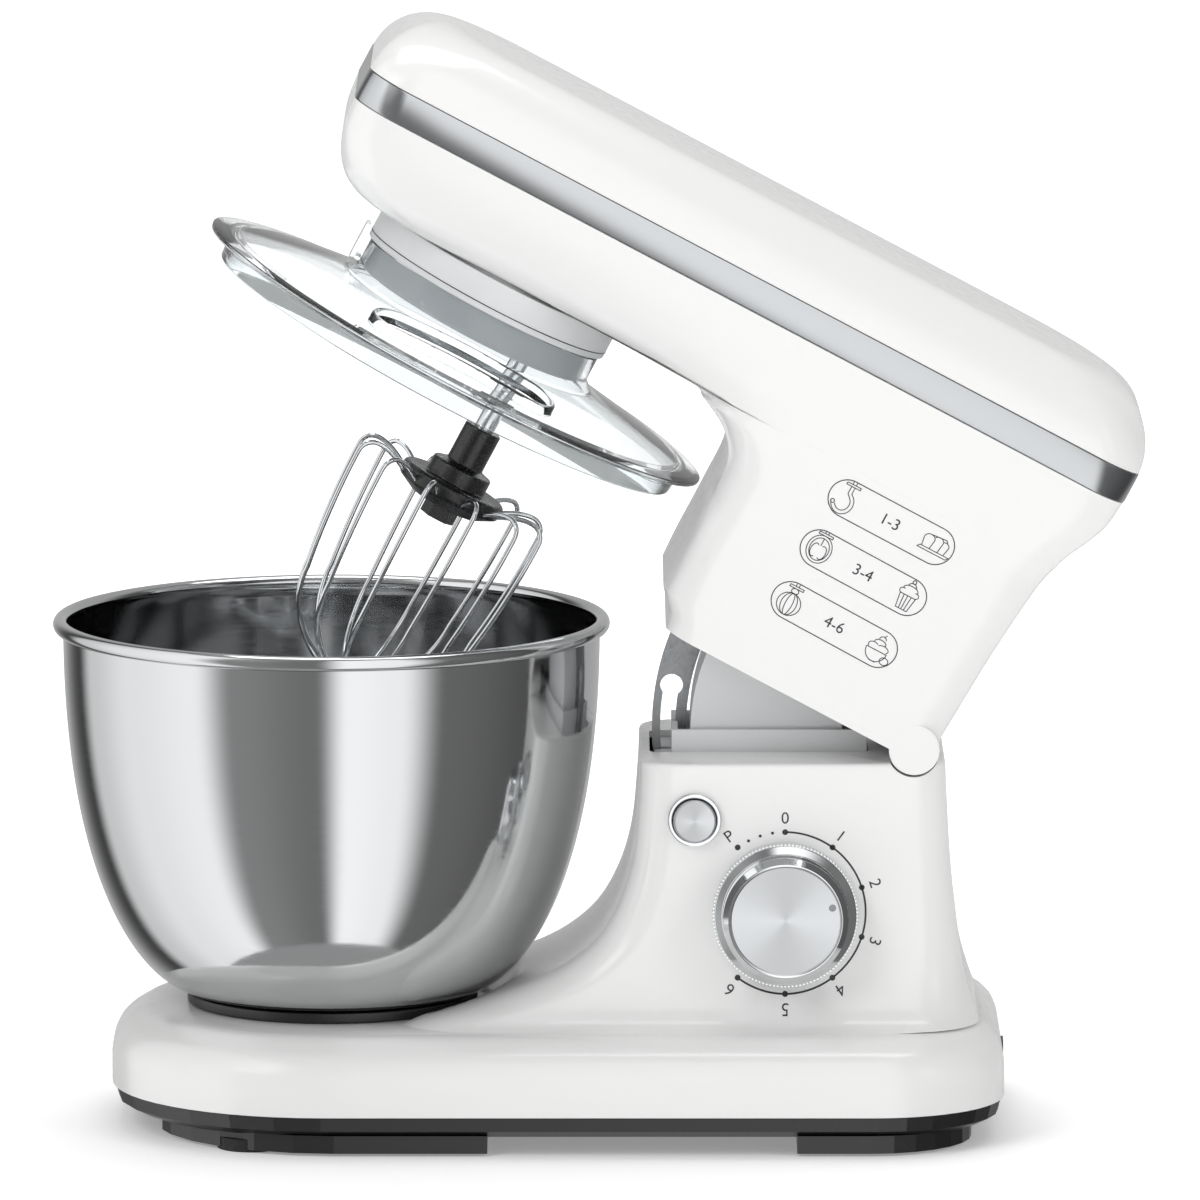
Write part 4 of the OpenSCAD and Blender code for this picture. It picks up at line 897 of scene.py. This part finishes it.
def makeKnob():
    s = knobShape
    place = sideways(knobAt.x, s["back"] * mm, knobAt.z)
    skirt, bevel, top = s["skirt"], s["bevel"], s["height"]
    profile = roundedProfile([(3.02, 0), (skirt, 0), (skirt, 5), (bevel, 6.4), (bevel, top - 3), (3.02, top - 3),
                              (3.02, 0)], 0.5, 3)
    body = lathe("knob_skirt", profile, place, "knob", bright, 192)
    # one rib, rounded, standing from the skirt
    section = [(-0.5, -0.42), (0.35, -0.34), (0.55, 0), (0.35, 0.34), (-0.5, 0.42)]
    verts, faces = ringStack([[(x, y, z) for x, y in section] for z in (0.25, 4.7)], looped=False)
    ribs = meshObject("knob_ribs", verts, faces)
    tidyMesh(ribs.data)
    tree, count, radius, metal = ribTree()
    mod = ribs.modifiers.new("ribs", "NODES")
    mod.node_group = tree
    mod[count], mod[radius], mod[metal] = s["ribs"], skirt, bright
    applyModifiers(ribs)
    ribs.data.transform(place)
    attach(ribs, "knob")
    cap = [(0.01, top - 3), (bevel, top - 3), (bevel, top - 2.3), (s["face"] + 0.7, top - 0.1), (s["face"] + 0.3, top),
           (s["face"], top - 0.1), (s["face"] - 0.6, top - 0.5), (0.01, top - 0.5)]
    face = lathe("knob_face", cap, place, "knob", knobFace, 192, angle=20)
    face.data.materials.append(bright)
    for p in face.data.polygons:   # the bevel is bright, only the flat face is turned
        c = place.inverted() @ p.center
        if math.hypot(c.x, c.y) > s["face"] - 0.3:
            p.material_index = 1
    a = math.radians(s["dotAngle"])
    out = s["dotOut"] * mm
    spot = (knobAt.x + out * math.sin(a), (s["back"] - top + 0.52) * mm, knobAt.z + out * math.cos(a))
    r = s["dotRadius"]
    lathe("knob_pointer", [(0.01, 0.12), (r - 0.4, 0.12), (r - 0.1, 0.06), (r, -0.1), (0.01, -0.1)], sideways(*spot),
          "knob", pointerInk, 40, angle=60)
    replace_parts(body, "knob_body")
    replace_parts(face, "knob_cap")
    ring = roundedProfile([(24.6, 0), (27.9, 0), (27.9, 6.4), (24.6, 6.4), (24.6, 0)], 0.5, 3)
    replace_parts(lathe("dial_collar", ring, sideways(knobAt.x, -55.1 * mm, knobAt.z), "base", bright, 160), "dial_ring")


def makeButton():
    x, z = buttonAt.x, buttonAt.z
    place = sideways(x, -49.1 * mm, z)
    profile = [(0.01, 0)] + roundedProfile([(8.4, 0), (8.4, 12.4), (0.01, 12.4)], 0.9, 6)
    face = lathe("lock_button_face", profile, place, "lock", buttonFace, 128, angle=50)
    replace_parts(face, "lock_button")
    ring = roundedProfile([(8.75, 0), (9.9, 0), (9.9, 4.6), (10.45, 4.8), (10.45, 6.5), (8.75, 6.5), (8.75, 0)],
                          0.45, 4)
    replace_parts(lathe("lock_button_ring", ring, sideways(x, -52.1 * mm, z), "base", bright, 128), "lock_bezel")


pointerInk = plainPlastic("pointer dot enamel", "#8E9092")
makeKnob()
makeButton()
print("controls made")

# print: flat strokes laid on the shell beneath


def surfaceOf(piece):
    mesh = piece.data
    return BVHTree.FromPolygons([v.co[:] for v in mesh.vertices], [tuple(p.vertices) for p in mesh.polygons])


def ribbon(points, width, closed=False):
    # a flat line of even width through points of a plane, with mitred corners
    pts = [Vector(p) for p in points]
    n = len(pts)
    verts, faces = [], []
    for i in range(n):
        a, b = (pts[i - 1], pts[(i + 1) % n]) if closed else (pts[max(i - 1, 0)], pts[min(i + 1, n - 1)])
        one, two = (pts[i] - a), (b - pts[i])
        one = one.normalized() if one.length > 1e-9 else two.normalized()
        two = two.normalized() if two.length > 1e-9 else one
        middle = (one + two).normalized() if (one + two).length > 1e-6 else one
        side = Vector((-middle.y, middle.x)) * (width / 2 / max(0.5, middle.dot(one)))
        verts += [pts[i] + side, pts[i] - side]
    for i in range(n if closed else n - 1):
        j = (i + 1) % n
        faces.append((2 * i, 2 * i + 1, 2 * j + 1, 2 * j))
    return verts, faces


def disc(centre, radius, parts=24):
    angles = [2 * math.pi * i / parts for i in range(parts)]
    verts = [Vector(centre)] + [Vector(centre) + radius * Vector((math.cos(a), math.sin(a))) for a in angles]
    return verts, [(0, 1 + i, 1 + (i + 1) % parts) for i in range(parts)]


def lettering(text, size, centre, turn=0.0):
    # text made a plain mesh in the plane, then turned clockwise and set down
    curve = bpy.data.curves.new("letters", "FONT")
    curve.body, curve.size, curve.align_x, curve.align_y = text, size, "CENTER", "CENTER"
    curve.resolution_u = 4
    obj = bpy.data.objects.new("letters", curve)
    bpy.context.collection.objects.link(obj)
    depsgraph = bpy.context.evaluated_depsgraph_get()
    mesh = bpy.data.meshes.new_from_object(obj.evaluated_get(depsgraph))
    c, s = math.cos(-turn), math.sin(-turn)
    xs, ys = [v.co.x for v in mesh.vertices], [v.co.y for v in mesh.vertices]
    mx, my = (min(xs) + max(xs)) / 2, (min(ys) + max(ys)) / 2
    verts = []
    for v in mesh.vertices:
        x, y = v.co.x - mx, v.co.y - my
        verts.append(Vector((centre[0] + c * x - s * y, centre[1] + s * x + c * y)))
    faces = [tuple(p.vertices) for p in mesh.polygons]
    bpy.data.objects.remove(obj)
    bpy.data.curves.remove(curve)
    bpy.data.meshes.remove(mesh)
    return verts, faces


def laid(name, shapes, place, surface, body):
    # shapes in mm of the side's plane (x to the rear, z up), pressed onto the shell under them
    verts, faces = [], []
    outward = Vector((0, -1, 0))
    for shapeVerts, shapeFaces in shapes:
        faces += [tuple(len(verts) + i for i in f) for f in shapeFaces]
        for p in shapeVerts:
            start = place @ Vector((p.x * mm, -0.15, p.y * mm))
            hit = surface.ray_cast(start, -outward)[0]
            verts.append(hit + outward * 0.00006)
    piece = meshObject(name, verts, faces)
    mesh = piece.data
    bm = bmesh.new()
    bm.from_mesh(mesh)
    for f in bm.faces:
        f.normal_update()
        if f.normal.y > 0:
            f.normal_flip()
    bm.to_mesh(mesh)
    bm.free()
    mesh.materials.append(ink)
    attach(piece, body)
    return piece


dialPrint = {"arc": 31.6, "line": 0.75, "dot": 1.15, "digits": 37.2, "size": 6.6, "step": 36}


def makeDialPrint():
    s = dialPrint
    place = Matrix.Translation((knobAt.x, 0, knobAt.z))

    def at(degrees, r):
        a = math.radians(degrees)
        return (r * math.sin(a), r * math.cos(a))

    shapes = [ribbon([at(a, s["arc"]) for a in range(0, 6 * s["step"] + 1, 2)], s["line"])]
    shapes += [disc(at(a, s["arc"]), s["dot"]) for a in range(-s["step"], 6 * s["step"] + 1, s["step"])]
    shapes += [disc(at(a, s["arc"]), 0.6) for a in (-9, -18, -27)]
    for i in range(7):
        turn = i * s["step"]
        shapes.append(lettering(str(i), s["size"], at(turn, s["digits"]), math.radians(turn)))
    shapes.append(lettering("P", s["size"], at(-s["step"], s["digits"]), math.radians(-s["step"])))
    laid("dial_print", shapes, place, surfaceOf(baseShellPiece), "base")


makeDialPrint()

# the neck's printed guide: tool, speeds and food in three lozenges

# centres of each lozenge's end circles, in mm about the hinge
lozenges = [((-70.2, 75.5), (-31.1, 75.3), "1-3"), ((-70.5, 52.9), (-31.2, 52.4), "3-4"),
            ((-70.8, 29.5), (-31.5, 28.9), "4-6")]


def oval(cx, cy, rx, ry, a0=0, a1=360, parts=28):
    return [(cx + rx * math.cos(math.radians(a0 + (a1 - a0) * i / parts)),
             cy + ry * math.sin(math.radians(a0 + (a1 - a0) * i / parts))) for i in range(parts + 1)]


toolShapes = {
    # each picture is a list of lines in mm about the lozenge's end
    "1-3": [[(-3.2, 6.6), (3.2, 6.6), (3.2, 5.6), (-3.2, 5.6), (-3.2, 6.6)], [(-0.8, 8), (-0.8, 6.6)],
            [(0.8, 8), (0.8, 6.6)],
            [(-0.8, 5.6), (-0.8, 2.2)] + oval(-1.2, -2.2, 3.2, 3.6, 60, -150)[2:],
            [(0.8, 5.6), (0.8, 2.6)] + oval(-1.2, -2.2, 4.8, 5.2, 62, -162)[2:],
            oval(-5.2, -3.6, 0.85, 0.85)],
    "3-4": [[(-3.2, 7), (3.2, 7), (3.2, 6), (-3.2, 6), (-3.2, 7)], [(-0.7, 8.2), (-0.7, 7)], [(0.7, 8.2), (0.7, 7)],
            oval(0, -0.2, 5.4, 6.2, 84, 450), oval(0, -0.2, 4.2, 5, 0, 360), [(0, 5), (0, 1.4)],
            oval(-1.7, -1.2, 1.7, 3, 60, 300), oval(1.7, -1.2, 1.7, 3, 120, -120)],
    "4-6": [[(-3.2, 6.6), (3.2, 6.6), (3.2, 5.6), (-3.2, 5.6), (-3.2, 6.6)], [(-0.7, 7.8), (-0.7, 6.6)],
            [(0.7, 7.8), (0.7, 6.6)],
            oval(0, 4.4, 1.6, 1.2, 0, 360), oval(0, -1.6, 5.2, 5), oval(0, -1.6, 3.4, 5), oval(0, -1.6, 1.5, 5)]}
foodShapes = {
    "1-3": [[(-7, -3.6), (6.4, -3.6), (7.4, -2.4), (-6, -2.4), (-7, -3.6)],
            oval(-3.6, 1.6, 2.4, 2, 0, 180, 10) + [(-5.4, -2.4)], [(-1.2, 1.6), (-1.8, -2.4)],
            oval(0.4, 2.2, 2.2, 1.8, 150, -10, 10) + [(2, -2.4)], oval(3.6, 1.4, 2, 1.7, 120, -20, 10) + [(4.8, -2.4)],
            [(-3.6, 3.6), (3.4, 4.2), (4.4, 3)]],
    "3-4": [[(-3.6, 0.4), (-2.6, -6), (2.6, -6), (3.6, 0.4), (-3.6, 0.4)], [(-1.7, 0.4), (-1.2, -6)],
            [(0, 0.4), (0, -6)],
            [(1.7, 0.4), (1.2, -6)], oval(-2.9, 1.6, 1.5, 1.2, 250, 70, 12), oval(2.9, 1.6, 1.5, 1.2, -70, 110, 12),
            oval(0, 3.2, 3.3, 1.6, 200, -20, 16), oval(0, 4.4, 1.9, 1.7, 180, 0, 12), oval(0, 6.8, 0.8, 0.8)],
    "4-6": [[(-5, -1), (4.4, -1)] + oval(-0.3, -1, 4.7, 5, 0, -180, 18), [(-1.6, -6), (1.4, -6)],
            oval(-2.6, 0.4, 2.2, 1.5, 220, 40, 12), oval(1.8, 0.4, 2.6, 1.5, -40, 150, 12),
            oval(-0.3, 2.4, 2.6, 1.4, 200, -20, 12),
            oval(0, 4.2, 1.5, 1.3, 190, 10, 10), [(0.3, 5.5), (0.9, 6.6)], oval(4.6, -4, 1.9, 1.6)]}


def makeGuide():
    surface = surfaceOf(headPiece)
    for number, (front, rear, speeds) in enumerate(lozenges):
        r = 7.5
        frameLine = oval(front[0], front[1], r, r, 90, 270) + oval(rear[0], rear[1], r, r, -90, 90)
        shapes = [ribbon(frameLine, 0.42, closed=True)]
        for centre, lines in ((front, toolShapes[speeds]), (rear, foodShapes[speeds])):
            for line in lines:
                shapes.append(ribbon([(centre[0] + x * 0.92, centre[1] + z * 0.92) for x, z in line], 0.36))
        middle = ((front[0] + rear[0]) / 2, (front[1] + rear[1]) / 2)
        shapes.append(lettering(speeds, 6.4, middle))
        laid("guide_" + str(number + 1), shapes, headPlace, surface, "head")


makeGuide()
print("print made")
